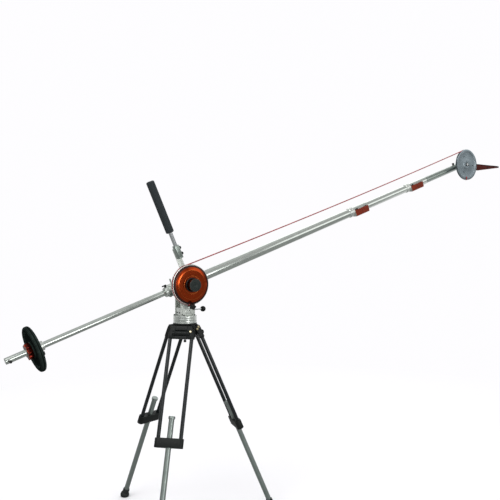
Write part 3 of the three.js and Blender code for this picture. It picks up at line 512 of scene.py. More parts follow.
def sweep(path, radius):
    """A round tube along a path, with its pattern measured along and around it."""
    sides = 16
    angles = [TURN * k / sides for k in range(sides)]
    points = [Vector(p) for p in path]
    shape = Shape()
    rings = []
    travelled = [0.0]
    for a, b in zip(points, points[1:]):
        travelled.append(travelled[-1] + (b - a).length)
    normal = (points[1] - points[0]).normalized().orthogonal()
    for i, here in enumerate(points):
        ahead = points[min(i + 1, len(points) - 1)] - points[max(i - 1, 0)]
        ahead.normalize()
        normal = (normal - ahead * normal.dot(ahead)).normalized()
        side = ahead.cross(normal)
        rings.append(shape.ring([here + (normal * cos(a) + side * sin(a)) * radius for a in angles]))
    for i, (a, b) in enumerate(zip(rings, rings[1:])):
        u0, u1 = travelled[i], travelled[i + 1]
        for k in range(sides):
            j = (k + 1) % sides
            v0, v1 = k / sides, (k + 1) / sides
            shape.faces.append((a[k], a[j], b[j], b[k]))
            shape.uvs.append(((u0, v0), (u0, v1), (u1, v1), (u1, v0)))
    for ring, level in ((rings[0], 0.0), (rings[-1], travelled[-1])):
        shape.faces.append(tuple(ring))
        shape.uvs.append(tuple((level, k / sides) for k in range(sides)))
    return shape


def piece(name, body, place, shapes, slot, stands_for=None, ride=True, upright=False):
    """One object from (look, shape) pairs in a local frame; an upright one keeps the world's axes."""
    sharp = radians(32)
    looks, points, faces, numbers, wear_and_sheen, uvs = [], [], [], [], [], []
    for look, shape in shapes:
        for one in shape if isinstance(shape, list) else [shape]:
            if look not in looks:
                looks.append(look)
            first = len(points)
            points += one.points
            wear_and_sheen += one.wear_and_sheen
            faces += [tuple(first + i for i in face) for face in one.faces]
            numbers += [looks.index(look)] * len(one.faces)
            uvs += one.uvs or [None] * len(one.faces)
    mesh = bpy.data.meshes.new(name)
    mesh.from_pydata([p * MM for p in points], [], faces)
    mesh.polygons.foreach_set("material_index", numbers)
    # The edge mask: worn edges, and the painted sheen on cast iron's rim.
    mesh.attributes.new("wear_and_sheen", "FLOAT", "POINT").data.foreach_set("value", wear_and_sheen)
    if any(uvs):
        layer = mesh.uv_layers.new(name="UVMap")
        for polygon, corners in zip(mesh.polygons, uvs):
            for index, corner in zip(polygon.loop_indices, corners or [(0, 0)] * len(polygon.vertices)):
                layer.data[index].uv = corner
    for look in looks:
        mesh.materials.append(LOOKS[look])
    work = bmesh.new()
    work.from_mesh(mesh)
    bmesh.ops.recalc_face_normals(work, faces=work.faces)
    work.to_mesh(mesh)
    work.free()
    mesh.shade_smooth()
    mesh.set_sharp_from_angle(angle=sharp)
    made = bpy.data.objects.new(name, mesh)
    bpy.context.scene.collection.objects.link(made)
    if upright:
        mesh.transform(place)
    else:
        made.matrix_world = place
    if ride:
        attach(made, body)
    if stands_for:
        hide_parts(*stands_for)
    return made


def part(node, place, shapes, **options):
    """A piece that replaces the CAD node of the same name, with that node's body."""
    return piece(node + "_look", BODIES[node], place, shapes, SLOTS[node], (node,), **options)


# Levels and sizes shared with the part, from the tilt axis
BASE_R = 59
BASE_TOP = -157
BASE_BOTTOM = BASE_TOP - 23
SPIGOT_R = 16
SPIGOT_TOP = BASE_BOTTOM + 15
RING_TOP = BASE_BOTTOM - GAP
RING_BOTTOM = RING_TOP - 13.4
BOLT_TOP = RING_BOTTOM + 9
CROWN_TOP = RING_BOTTOM - GAP
CROWN_BOTTOM = CROWN_TOP - 70
PAN_LEVER = move(22, 0, BASE_TOP + 26)
STAR_LEVEL = -108
STUD_R = 4
AXLE_R = 10
YOKE_FACE = 31
ARM_FACE = 47.7
ROD_R = 10
ROD_Y = -62
PULLEY_R = 102.5
GROOVE = 6.5
HEAD_FRONT = 86
INNER_END = 2204
MIDDLE_END = INNER_END - 331
OUTER_END = MIDDLE_END - 558
OUTER_R = 25.2
MIDDLE_R = 22.8
INNER_R = 20.4
WALL = 1.6
REAR_R = 14.8
REAR_BORE = REAR_R + GAP
REAR_END = 925
WEIGHT_PLACE = -795
WEIGHT_HALF = 12.5
CORD_R = 3
CORD_SAG = 10
CORD_Y = -55
CORD_LEVEL = PULLEY_R - GROOVE + CORD_R + GAP

# The legs' sizes, in a frame at each hinge
HINGE_RADIUS = 74
HINGE_LEVEL = CROWN_TOP - 46
HINGE_TO_FLOOR = PIVOT_LEVEL + HINGE_LEVEL
LUG_HALF = 30.5
PIN_R = 5
FITTING_BACK, FITTING_FRONT = -22, 4
FITTING_BOTTOM, FITTING_TOP = -24, 38
TWIN_INSET = 10
TWIN_R = 9.3
TWIN_PLACE = 55
LOWER_R = 13
SOLE = 18
FLOOR_REACH = (HINGE_TO_FLOOR - TWIN_INSET * sin(SPLAY)) / cos(SPLAY)
INWARDS = move(-TWIN_INSET, 0, 0)


# Tripod head
def crown():
    top, side, disc_r, nose_r = CROWN_TOP - 6, 60, 60, 13
    bore = STUD_R + GAP
    flat = HINGE_RADIUS - (FITTING_TOP * sin(SPLAY) - FITTING_BACK * cos(SPLAY)) - GAP
    corners = []
    for a in LEG_TURNS:
        across = Vector((-sin(a), cos(a)))
        middle = Vector((cos(a), sin(a))) * flat
        corners += [tuple(middle - across * side), tuple(middle + across * side)]
    disc = [(bore, top - 1), (disc_r, top - 1), (disc_r, CROWN_TOP - 1.5), (disc_r - 1.5, CROWN_TOP),
            (bore, CROWN_TOP)]
    shapes = [
        ("casting", prism(corners, CROWN_BOTTOM, top, 2, [ngon(bore, 24)], 3)),
        ("casting", lathe(disc, 96)),
    ]
    outline = [(30, -nose_r), (HINGE_RADIUS, -nose_r)]
    outline += arc(nose_r, radians(-80), radians(80), 16, HINGE_RADIUS)
    outline += [(HINGE_RADIUS, nose_r), (30, nose_r)]
    lug = prism(outline, -LUG_HALF, LUG_HALF, 1.2, [ngon(PIN_R + GAP, 20, HINGE_RADIUS)])
    for a in LEG_TURNS:
        shapes.append(("casting", lug.moved(turn("Z", a), move(0, 0, HINGE_LEVEL), NEAR)))
    part("crown", CRANE, shapes)


def tie_down():
    top = CROWN_BOTTOM - 18
    shapes = [
        ("black", prism(lobed(6.5, 0.4, 10, 6), top - 12, top - 1, 1)),
        ("steel", rod(5.4, top - 1.6, top, 32, 0.4)),
        ("steel", rod(STUD_R, top - 1, BOLT_TOP - GAP, 24)),
    ]
    part("tie_down", CRANE, shapes)


def pan_base():
    bore, step = STUD_R + 1 + GAP, 3
    ring = [(0, BOLT_TOP), (bore, BOLT_TOP), (bore, RING_BOTTOM), (BASE_R, RING_BOTTOM)]
    ring += groove(BASE_R, RING_BOTTOM + 4.6, 0.7, 0.6)
    ring += [(BASE_R, RING_TOP - step), (BASE_R - step, RING_TOP - step), (BASE_R - step, RING_TOP),
             (SPIGOT_R, RING_TOP), (SPIGOT_R, SPIGOT_TOP), (0, SPIGOT_TOP)]
    part("base_ring", CRANE, [("turned", lathe(ring, 128, 0.7))])


def turn_base():
    bore, chamfer = SPIGOT_R + GAP, 2
    disc = [(bore, BASE_BOTTOM), (BASE_R, BASE_BOTTOM)] + groove(BASE_R, BASE_BOTTOM + 9.3, 0.8, 0.8)
    disc += [(BASE_R, BASE_TOP - chamfer), (BASE_R - chamfer, BASE_TOP), (0, BASE_TOP),
             (0, SPIGOT_TOP + GAP), (bore, SPIGOT_TOP + GAP)]
    side, slot_end, low, high, top = 38, 9, BASE_TOP + 21, BASE_TOP + 31, BASE_TOP + 39
    web = [(-side, BASE_TOP - 1), (side, BASE_TOP - 1), (side, low), (slot_end, low), (slot_end, high),
           (side, high), (side, top), (-side, top)]
    shapes = [
        ("turned", lathe(disc, 128, 0.7)),
        ("satin", prism(web, -24.7, 24.7).moved(NEAR)),
        ("steel", rod(STUD_R, low - 1, high + 1, 24).moved(move(22, 0, 0))),
    ]
    for angle in (-123.4, -54.2, 149.8, 56.6):
        spot = turn("Z", radians(angle)) @ move(BASE_R - 6, 0, BASE_TOP)
        shapes.append(("steel", rod(5.2, -0.5, 0.8, 28, 0.3).moved(spot)))
        shapes.append(screw(4, 4.6, spot, move(0, 0, 0.7)))
    for y in (12, -12):
        shapes.append(screw(3.2, 2.4, move(-side, y, -142), REAR))
        shapes.append(screw(3.2, 2.4, move(side, y, -146), ALONG))
    part("turn_base", CRANE, shapes)


def cheek(name, side, holes, screws):
    """A yoke plate on the near side (-1) or the far side (1), with its screws at (x, z)."""
    half, thick = 40.5, 6
    outline = [(-half, BASE_TOP + GAP), (half, BASE_TOP + GAP)] + arc(half, 0, pi, 40)
    plate = prism(outline, 0, thick, 0.9, [ngon(AXLE_R + GAP, 40), *holes])
    inner = thick - YOKE_FACE if side < 0 else YOKE_FACE
    out = NEAR if side < 0 else FAR
    shapes = [("plate", plate.moved(move(0, inner, 0), NEAR))]
    shapes += [screw(2.7, 1.2, move(x, side * YOKE_FACE, z), out) for x, z in screws]
    part(name, CRANE, shapes)


def pan_lever():
    arm = lathe([(0, 5.3), (3.5, 5.3), (3.5, 66), (5, 67), (5, 70), (0, 70)], 32, 0.4)
    shapes = [
        ("steel", pipe(9, STUD_R + GAP, -4.7, 4.7, 40).moved(PAN_LEVER)),
        ("steel", arm.moved(PAN_LEVER, ALONG)),
        ("black", ball(14.5, 82).moved(PAN_LEVER, ALONG)),
    ]
    part("pan_lever", CRANE, shapes)


def star_knob():
    at = move(0, 0, STAR_LEVEL) @ NEAR
    shapes = [
        ("black", prism(lobed(13.5, 2.5, 5, 16), 70, 90, 3).moved(at)),
        ("black", lathe([(0, 80), (10.5, 80), (10.5, 92), (9, 94), (0, 93)], 40, 1).moved(at)),
        ("steel", rod(STUD_R, 22, 71, 24).moved(at)),
        ("steel", rod(7, 66, 70.5, 32).moved(at)),
    ]
    part("star_knob", CRANE, shapes)


# Tilt axis
def pivot_axle():
    face, out, shoulder = YOKE_FACE + GAP, 95.2, 15
    back = -face - 9.7
    axle = [(0, -face - 2), (14.5, -face - 2), (14.5, -face), (AXLE_R, -face), (AXLE_R, face),
            (shoulder, face), (shoulder, ARM_FACE), (AXLE_R, ARM_FACE), (AXLE_R, out), (0, out)]
    shapes = [
        ("steel", lathe(axle, 48, 0.5).moved(NEAR)),
        ("steel", prism(ngon(15.9, 6), back, -face - 1.5, 1.2).moved(NEAR)),
        ("steel", lathe([(0, back), (8.5, back), (8.5, -face - 8), (0, -face - 8)], 32, 0.5).moved(NEAR)),
    ]
    part("pivot_axle", CRANE, shapes)


def drag_disc():
    bore, back, top = AXLE_R + GAP, 62.3, 74.9
    disc = [(bore, back), (94, back), (94, back + 4.6), (91, back + 5.6), (81, top - 3.3), (79, top - 2.5),
            (76, top - 1.6), (73, top - 1), (46, top), (45.4, top - 0.5), (44.6, top - 0.5), (44, top),
            (bore, top)]
    rim = [(88, back), (97, back), (97, back + 4), (96, back + 5), (93.6, back + 5.9), (88, back + 8)]
    shapes = [("copper", lathe(disc, 160, 0.7).moved(NEAR)), ("rim", lathe(rim, 160, 0.5).moved(NEAR))]
    part("drag_disc", CRANE, shapes)


def hub_knob():
    bore, low, ribs = AXLE_R + GAP, 75.2, 36
    body = [(bore, low), (30, low), (30, low + 5), (30.6, low + 27), (31.8, low + 31), (31.8, low + 32),
            (30.5, low + 33), (24, low + 33), (bore, low + 31.5)]
    flange = [(26, low), (36, low), (36, low + 2.6), (34.5, low + 4), (26, low + 4)]
    cap = [(0, low + 20.5), (9, low + 20.5), (9, low + 31), (31.2, low + 31.4), (31.9, low + 32.6),
           (30.6, low + 34), (8, low + 34), (7, low + 33.2), (0, low + 33.2)]
    shapes = [
        ("hub", lathe(body, 96, 0.7).moved(NEAR)),
        ("black", lathe(flange, 96).moved(NEAR)),
        ("cap", lathe(cap, 96, 0.8).moved(NEAR)),
    ]
    rib = box((29.8, -0.7, low + 6), (31.4, 0.7, low + 27), 0.5, 0.4)
    shapes += [("hub", rib.moved(NEAR, turn("Z", TURN * i / ribs))) for i in range(ribs)]
    part("hub_knob", CRANE, shapes)


def pulley(bore, near=PULLEY_R):
    """A grooved wheel with dished faces; near is the radius of its near rim."""
    y0 = ARM_FACE + GAP
    y1 = y0 + 14
    middle = (y0 + y1) / 2
    bed = PULLEY_R - GROOVE
    return lathe([
        (bore, y0), (30, y0), (34, y0 + 3), (84, y0 + 3), (88, y0), (PULLEY_R, y0), (PULLEY_R, y0 + 2),
        (bed, middle - 2.6), (bed - 0.6, middle - 1.4), (bed - 0.8, middle), (bed - 0.6, middle + 1.4),
        (bed, middle + 2.6), (near, y1 - 2), (near, y1), (88, y1), (84, y1 - 3), (34, y1 - 3), (30, y1),
        (bore, y1),
    ], 160, 0.7).moved(NEAR)


def cord_arc(start, stop, radius=CORD_R):
    turned_by = arc(CORD_LEVEL, start + QUARTER, stop + QUARTER, 72)
    return ("cord", sweep([(x, CORD_Y, z) for x, z in turned_by], radius))


def cord_tail(angle, sign):
    """The cord's loose end: out of the groove over the rim, to a small knot on the face."""
    swing, dip, depth, knot_r, steps = 0.05, 14, 10.5, 3.4, 10
    out = []
    for share in [i / steps for i in range(steps + 1)]:
        a = angle + sign * swing * share
        reach = CORD_LEVEL + GROOVE * sin(pi * share) - dip * share * share
        out.append((-reach * sin(a), CORD_Y - depth * min(1.0, share * 1.5), reach * cos(a)))
    knot = ball(knot_r, 0, 10, 16).moved(move(*out[-1]))
    knot.uvs = [tuple((0, 0) for _ in face) for face in knot.faces]
    return ("cord", [sweep(out, CORD_R), knot])


def wrap(end, lead_body, place, bare, wrapped, sign):
    """The cord held on a pulley, and a slightly thinner length that stays in the groove as it turns."""
    thinner, short = 0.12, 0.02
    stop = TILT + sign * radians(wrapped)
    held = [cord_arc(TILT + sign * radians(bare), stop), cord_tail(stop, sign)]
    part(f"cord_wrap_{end}", place, held)
    lead = cord_arc(TILT, stop - sign * short, CORD_R - thinner)
    piece(f"cord_lead_{end}", lead_body, place, [lead], "cord")


def head_pulley():
    part("head_pulley", CRANE, [("turned", pulley(AXLE_R + GAP, 100.4))])
    wrap("head", "boom", CRANE, 54, 153, 1)


# Handle
def clamp_screw(level, start):
    at = move(0, ROD_Y, level) @ ALONG
    return [
        ("black", prism(lobed(7.6, 0.4, 10, 6), start + 0.4, start + 8.8, 1).moved(at)),
        ("chrome", rod(4, start + 8.5, start + 12, 24).moved(at)),
        ("steel", rod(3, start - 4, start + 2, 24).moved(at)),
    ]


def handle():
    bar = prism(rectangle(-15, 20, 15, 200), ARM_FACE - 6, ARM_FACE, corner=6)
    part("handle_bar", HANDLE, [("plate", bar.moved(NEAR))])
    floor, top, seat = 146, 213, 152.3
    block = rectangle(-13, ROD_Y - 14, 13, ROD_Y + 14)
    shapes = [
        ("inner", prism(block, floor, seat, 1.2, corner=4)),
        ("inner", prism(block, seat - 0.8, top, 1.2, [ngon(ROD_R + GAP, 48, 0, ROD_Y)], 4)),
        ("black", box((8, ROD_Y - 1, 154), (13.1, ROD_Y + 1, top), 0.1, 0.1)),
    ]
    part("handle_clamp", HANDLE, shapes + clamp_screw(165, 13.5))
    part("handle_screw", HANDLE, clamp_screw(195, 13.3))
    at = move(0, ROD_Y, 0)
    tube = pipe(ROD_R, 8, seat, 544.7, 64).moved(at)
    part("handle_rod", HANDLE, [("steel", tube)])
    bore, low, high = ROD_R + GAP, 283, 545
    grip = [(bore, low), (17, low), (19.4, low + 2), (20, low + 6), (20, high - 4), (19.2, high),
            (16.5, high + 2.6), (12, high + 3), (0, high + 2.6), (0, high), (bore, high)]
    part("handle_grip", HANDLE, [("foam", lathe(grip, 72, 1.5).moved(at))])


# Boom
def head_block():
    side, back, sleeve_r = 24.6, -92, 24.5
    sleeve = [(REAR_BORE, back - 28), (sleeve_r - 2, back - 28), (sleeve_r, back - 26),
              (sleeve_r, back + 1), (REAR_BORE, back + 1)]
    top = move(-72, 0, 28)
    shapes = [
        ("plate", prism(octagon(side, 28, 5), back, HEAD_FRONT, 1.2).moved(ACROSS)),
        ("satin", lathe(sleeve, 72).moved(ALONG)),
        ("satin", rod(OUTER_R - WALL - GAP, HEAD_FRONT - 1, 130, 64).moved(ALONG)),
        ("inner", box((-112, -24.4, -24), (-92.5, -14, -10), 1, 2)),
        ("black", rod(4, -27.6, -23.5, 28).moved(move(-102, -19, 0))),
        screw(3.4, 1.6, move(-80, side, 0), FAR),
        screw(3.4, 1.6, move(74, side, 0), FAR),
        ("satin", rod(3, -0.5, 14.5, 24, 0.3).moved(top)),
        ("satin", rod(4, 14, 28, 28, 1).moved(top)),
    ]
    part("head_block", BOOM, shapes)


def rear_lever():
    at = move(-108, 0, 0)
    arm = [(5, -4), (8, -2), (8, 2), (5, 4), (-15, 3.4), (-17, 1.6), (-17, -1.6), (-15, -3.4)]
    shapes = [
        ("black", lathe([(0, 24.9), (6, 24.9), (5.6, 30), (5, 36.6), (0, 36.8)], 40, 0.8).moved(at)),
        ("black", prism(arm, 30.5, 36.4, 1.5, corner=1).moved(at)),
        ("steel", rod(3, 15.8, 25.5, 24).moved(at)),
    ]
    part("rear_lever", BOOM, shapes)


def boom_tube(node, look, radius, start, end, ring=0, tail=0, bush=0):
    """A tube with, where given, a silver ring at a place, a tail and a bush of those radii."""
    inner, tail_length, bush_length = radius - WALL, 15, 45
    profile = [(inner, start)]
    if tail:
        profile += [(tail, start), (tail, start + tail_length)]
    profile += [(radius, start + tail_length if tail else start), (radius, end)]
    if bush:
        profile += [(bush, end), (bush, end - bush_length), (inner, end - bush_length)]
    else:
        profile.append((inner, end))
    shapes = [(look, lathe(profile, 96, 0.4).moved(ALONG))]
    if ring:
        root, rise, length = radius - 1, radius + 3.5, 35
        band = [(root, ring), (radius + 0.4, ring), (rise, ring + 6), (rise, ring + 22),
                (rise - 0.9, ring + 22.8), (rise - 0.9, ring + 24.2), (rise, ring + 25),
                (rise, ring + length), (root, ring + length)]
        shapes.append(("satin", lathe(band, 96, 0.5).moved(ALONG)))
    part(node, BOOM, shapes)


def clamp(node, radius, start, length):
    """A split clamp that is open at the top, with one turning screw and three still ones."""
    side, bottom, top, bore = radius + 6.5, -radius - 5, 9, radius + GAP
    first, screw_y = asin(top / bore), radius + 3.25
    round_tube = arc(bore, first, -pi - first, 48)

    def trough(w, low, high, cut):
        return [(-w, high), (-w, low + cut), (-w + cut, low), (w - cut, low), (w, low + cut), (w, high)]

    section = trough(side, bottom, top, 3) + round_tube
    end_face = trough(side - 1, bottom + 1, top - 1, 2.4) + round_tube
    middle, face = start + length / 2, -side - 0.05
    slit = box((middle - 0.8, face, bottom + 4), (middle + 0.8, face + 1.25, top + 0.05), 0.1, 0.1)
    shapes = [
        ("maroon", prism(section, start, start + length, 0.9).moved(ACROSS)),
        ("satin", prism(end_face, start - 0.2, start + 1, 0.2).moved(ACROSS)),
        ("black", slit),
    ]
    low, high = start + 18, start + length - 18
    for u, y in ((high, -screw_y), (low, screw_y), (high, screw_y)):
        spot = move(u, y, top)
        shapes.append(("steel", rod(4.8, -0.3, 0.7, 28, 0.2).moved(spot)))
        shapes.append(screw(3.6, 4, spot, move(0, 0, 0.6)))
    part(node, BOOM, shapes)
    spot = move(low, -screw_y, top)
    turning = [screw(4.6, 8, spot, move(0, 0, GAP)), ("steel", rod(2.4, -12, 0.5, 20, 0.3).moved(spot))]
    part(node + "_screw", BOOM, turning)


def boom():
    boom_tube("outer_tube", "tube", OUTER_R, HEAD_FRONT + GAP, OUTER_END,
              ring=OUTER_END - 150, bush=MIDDLE_R + GAP)
    boom_tube("middle_tube", "tube", MIDDLE_R, MIDDLE_END - 815, MIDDLE_END,
              ring=MIDDLE_END - 195, tail=OUTER_R - WALL - GAP, bush=INNER_R + GAP)
    boom_tube("inner_tube", "inner", INNER_R, INNER_END - 600, INNER_END, tail=MIDDLE_R - WALL - GAP)
    clamp("outer_clamp", OUTER_R, OUTER_END - 114.7, 111)
    clamp("middle_clamp", MIDDLE_R, MIDDLE_END - 159.7, 113)
    half = 20
    shapes = [
        ("inner", prism(octagon(half, half, 3), INNER_END + GAP, INNER_END + 72, 1).moved(ACROSS)),
        ("inner", rod(INNER_R - WALL - GAP, INNER_END - 40, INNER_END + 1, 48).moved(ALONG)),
    ]
    shapes += [screw(3.2, 2, move(INNER_END + 13, -half, w), NEAR) for w in (-12, 12)]
    part("end_block", BOOM, shapes)
    at = move(INNER_END - 18, 0, 0)
    shapes = [
        ("black", prism(lobed(6.4, 0.6, 8, 8), 22.4, 33.6, 1.2).moved(at)),
        ("black", rod(5, INNER_R + GAP, 23, 32, 0.4).moved(at)),
        ("steel", rod(3, 0.3, 22, 24).moved(at)),
    ]
    part("end_knob", BOOM, shapes)


def cords():
    """The two straight runs; they hang a little between the pulleys."""
    start, join, stop, steps = 0.3, OUTER_END + 60, 2248.7, 60

    def along(u):
        return Vector((u, CORD_Y, CORD_LEVEL - CORD_SAG * 4 * u * (stop - u) / stop**2))

    for node, a, b, first, last in (
        ("cord_rear", "boom", "boom_middle", start, join),
        ("cord_front", "boom_middle", "boom_inner", join, stop),
    ):
        path = [along(first + (last - first) * i / steps) for i in range(steps + 1)]
        made = part(node, BOOM, [("cord", sweep(path, CORD_R))], ride=False)
        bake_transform(made)


# Far end
def far_end():
    face, neck, out = 20.3, 8, 66.6
    back = -face - 9.7
    axle = [(0, back), (8.5, back), (8.5, back + 0.7), (12.5, back + 1.5), (13, back + 2.2), (13, -face),
            (neck, -face), (neck, face), (12, face), (12, ARM_FACE), (neck, ARM_FACE), (neck, out),
            (6.6, out + 1.4), (2.2, out + 1.4), (1.6, out + 0.2), (0, out - 0.1)]
    part("end_axle", LEVEL, [("steel", lathe(axle, 64, 0.4).moved(NEAR))])
    rim_face, web_face = 62, 59
    shapes = [
        ("pulley", pulley(neck + GAP)),
        screw(3.6, 3.2, move(16, -rim_face, -3.5), NEAR),
        *[screw(3.2, 1.6, move(x, -web_face, z), NEAR) for x, z in ((60, -2), (-30, 52), (-30, -52))],
        ("black", rod(3.6, rim_face - 0.4, rim_face + GAP, 24, 0.2).moved(move(95, 0, -3), NEAR)),
        ("black", pipe(12.4, 9.4, rim_face - 0.2, rim_face + 0.9, 48, 0.2).moved(NEAR)),
    ]
    part("end_pulley", LEVEL, shapes)
    wrap("end", "boom_inner", LEVEL, 103, 202, -1)


def platform():
    near, far, start, tip, top = -ARM_FACE, 28.3, 45, 369, 13.7
    side = [(start, -24), (130, -31), (tip, 3), (tip, top), (start, top)]
    slot = [(x, y) for x, y, wear_and_sheen in rounded(rectangle(180, -14.2, 350, -5.2), 4.4, True, 6)]
    shapes = [("platform", prism(side, low, low + 5, corner=3).moved(NEAR)) for low in (-near - 5, -far)]
    shapes += [
        ("platform", prism(rectangle(start, near, tip, far), top - 6, top, 0.8, [slot], 3)),
        ("platform", box((start, near, -24.2), (start + 5, far, top - 0.2))),
        ("black", box((tip - 17, near - 0.1, 2.2), (tip, far + 0.1, top + 0.1), 1.2, 2)),
        ("platform", pipe(30, 12.3, 36, ARM_FACE, 72).moved(NEAR)),
        ("platform", box((26, near, -24), (start + 2, -36, top))),
        ("black", box((290, near + 0.4, top - 0.3), (352, near + 5, top + 0.5), 0.3, 0.3)),
        ("black", box((290, far - 5, top - 0.3), (352, far - 0.4, top + 0.5), 0.3, 0.3)),
    ]
    shapes += [screw(3.2, 1.8, move(x, near, z), NEAR) for x, z in ((62, -9), (150, -9), (240, 0))]
    part("camera_platform", LEVEL, shapes)


# Rear
def rear():
    bore, start, cap_r = REAR_R - 2, 28.3, 12.7
    cap = [(0, REAR_END - 6), (cap_r, REAR_END - 6), (cap_r, REAR_END - 1.4), (cap_r - 1.5, REAR_END - 0.2),
           (0, REAR_END - 0.2)]
    shapes = [
        ("tube", pipe(REAR_R, bore, start, REAR_END, 72).moved(REAR)),
        ("inner", lathe(cap, 48, 0.5).moved(REAR)),
    ]
    part("rear_tube", BOOM, shapes)
    at = move(13 - REAR_END, 0, 0) @ NEAR
    pin = [(0, -40), (2, -40), (3, -38.6), (3, 44), (6, 44), (6, 48.2), (5.2, 49), (0, 49)]
    shapes = [("casting", lathe(pin, 32, 0.4).moved(at))]
    shapes += [("black", pipe(4.2, 2.9, z, z + 2, 24, 0.3).moved(at)) for z in (-18, 16)]
    part("end_pin", BOOM, shapes)


def weight():
    half, lip = WEIGHT_HALF, WEIGHT_HALF - 4
    side = [(REAR_BORE, -half), (36, -half), (37.5, -lip), (80, -lip), (84, -half), (99, -half),
            (105, 3.5 - half), (107, 8 - half)]
    profile = side + [(r, -z) for r, z in reversed(side)]
    # The rim's wide rounding carries the cast iron's painted sheen.
    shapes = [("iron", lathe(profile, 144, 2.2).moved(move(WEIGHT_PLACE, 0, 0), ALONG))]
    part("weight_plate", BOOM, shapes)
    outer = WEIGHT_PLACE - half - GAP
    shapes = [
        ("collar", prism(lobed(34, 4, 8, 14), outer - 24, outer, 3, [ngon(REAR_BORE, 40)]).moved(ALONG)),
        ("collar", pipe(24, REAR_BORE, outer - 24, outer - 20, 72, 1).moved(ALONG)),
    ]
    part("weight_collar", BOOM, shapes)
    stop_r, start, length = 22, WEIGHT_PLACE + half + GAP, 30
    ring = [(REAR_BORE, start), (stop_r - 1, start), (stop_r, start + 1), (stop_r, start + length - 1),
            (stop_r - 1, start + length), (REAR_BORE, start + length)]
    part("weight_stop", BOOM, [("satin", lathe(ring, 72).moved(ALONG))])
    at = move(start + length / 2, 0, 0)
    shapes = [
        ("black", prism(lobed(10.2, 0.8, 8, 10), -42.3, -26, 1.8).moved(at)),
        ("black", rod(7, -27, -stop_r - GAP, 32, 0.5).moved(at)),
        ("steel", rod(4, -23, -15.4, 24).moved(at)),
    ]
    part("weight_knob", BOOM, shapes)


# Legs
def corner_block(side):
    """One side of a leg's fitting: it tapers upwards, and its outer corner is cut off."""
    rings, wear_and_sheen_levels = [], []
    low, high, inner = FITTING_BOTTOM, FITTING_TOP, 30.8
    sections = [(low, 67, 10), (-6, 67, 10), (23, 57, 1.5), (high, 52, 1.5)]
    levels = [(low, 2.0), (low + 0.6, 0.8), (low + 2, 0), (-6, 0), (23, 0), (high - 1.4, 0),
              (high - 0.5, 0.6), (high, 1.6)]
    for level, shrink in levels:
        for (z0, h0, c0), (z1, h1, c1) in zip(sections, sections[1:]):
            if z0 <= level <= z1:
                share = (level - z0) / (z1 - z0)
                half, cut = h0 + (h1 - h0) * share, c0 + (c1 - c0) * share
        outline = [(FITTING_BACK, inner), (FITTING_FRONT, inner), (FITTING_FRONT, half - cut),
                   (FITTING_FRONT - cut, half), (FITTING_BACK, half)]
        rings.append([(x, side * y, level) for x, y, wear_and_sheen in rounded(inset(outline, shrink), 2.2, True)])
        wear_and_sheen_levels.append(0.8 if shrink else 0)
    return loft(rings, wear_and_sheen_levels)


def fitting(node, place):
    half, front = LUG_HALF + 1, FITTING_FRONT
    shapes = [
        ("casting", box((FITTING_BACK, -half, FITTING_BOTTOM), (front, half, -13.6), 1.6, 1.6)),
        ("casting", box((-1, -half, 16), (front, half, FITTING_TOP), 1.2, 1.2)),
        ("steel", rod(PIN_R, -35.8, 35.8).moved(NEAR)),
    ]
    for side in (-1, 1):
        start, end = sorted((-side * 44, -side * 30.8))
        shapes += [("casting", corner_block(side)), ("casting", rod(13.5, start, end, 48, 1.6).moved(NEAR))]
    tip = turn("X", -atan(15 / 44))
    for x, y, z in ((-5.9, -53.5, 33.5), (-16.3, -56, 26.1)):
        shapes.append(hex_bolt(3.6, 3, move(x, y, z), tip, NEAR))
    shapes.append(hex_bolt(3.8, 3, move(front, 48, 9), ALONG))
    part(node, place, shapes)


def collar(node, place):
    round_r, centre, bottom, top = 17, TWIN_PLACE - 2, -544, -500
    outline = arc(round_r, 0, pi, 24, 0, centre) + arc(round_r, pi, TURN, 24, 0, -centre)
    bores = [ngon(TWIN_R + GAP, 40, 0, s * TWIN_PLACE) for s in (-1, 1)] + [ngon(LOWER_R + GAP, 40)]
    shapes = [("casting", prism(outline, bottom, top, 2.2, bores).moved(INWARDS))]
    middle = (bottom + top) / 2
    shapes += [screw(3.6, 2.4, INWARDS, move(round_r - 0.4, s * 36, middle), ALONG) for s in (-1, 1)]
    part(node, place, shapes)


def leg(name, angle):
    hinge = move(HINGE_RADIUS * MM, 0, HINGE_LEVEL * MM)
    place = CRANE @ turn("Z", angle) @ hinge @ turn("Y", -SPLAY)
    fitting(f"leg_{name}_fitting", place)
    for side, word in ((1, "left"), (-1, "right")):
        tube = pipe(TWIN_R, TWIN_R - 1.5, -535.7, -GAP, 48, 0.3)
        tube = tube.moved(INWARDS, move(0, side * TWIN_PLACE, 0))
        part(f"leg_{name}_tube_{word}", place, [("leg", tube)])
    collar(f"leg_{name}_collar", place)
    bore, plug_r, plug, top, bottom = LOWER_R - 1.8, LOWER_R + 3, -412, -400, -FLOOR_REACH + SOLE + GAP
    tube = [(bore, bottom), (LOWER_R, bottom), (LOWER_R, plug), (plug_r, plug), (plug_r, top), (0, top),
            (0, plug + 1), (bore, plug + 1)]
    shapes = [("leg_lower", lathe(tube, 64, 0.5).moved(INWARDS))]
    part(f"leg_{name}_lower_tube", place, shapes)
    foot(name, place)


def foot(name, place):
    """A round rubber foot, cut flat where it meets the floor."""
    round_r, neck_r, bore, seat = 24, 17, LOWER_R + GAP, -FLOOR_REACH + SOLE
    centre, top = seat - 6, seat + 32
    profile = arc(round_r, -QUARTER, acos(neck_r / round_r), 16, 0, centre)
    profile += [(neck_r, centre + 20), (neck_r, top - 12), (18.2, top - 11), (18.2, top - 8),
                (neck_r, top - 7), (neck_r, top), (bore, top), (bore, seat), (0, seat)]
    shape = lathe(profile, 72, 0.8).moved(INWARDS)
    normal = Vector((sin(SPLAY), 0, cos(SPLAY)))
    for p in shape.points:
        below = -HINGE_TO_FLOOR - normal.dot(p)
        if below > 0:
            p += normal * below
    part(f"leg_{name}_foot", place, [("rubber", shape)], upright=True)


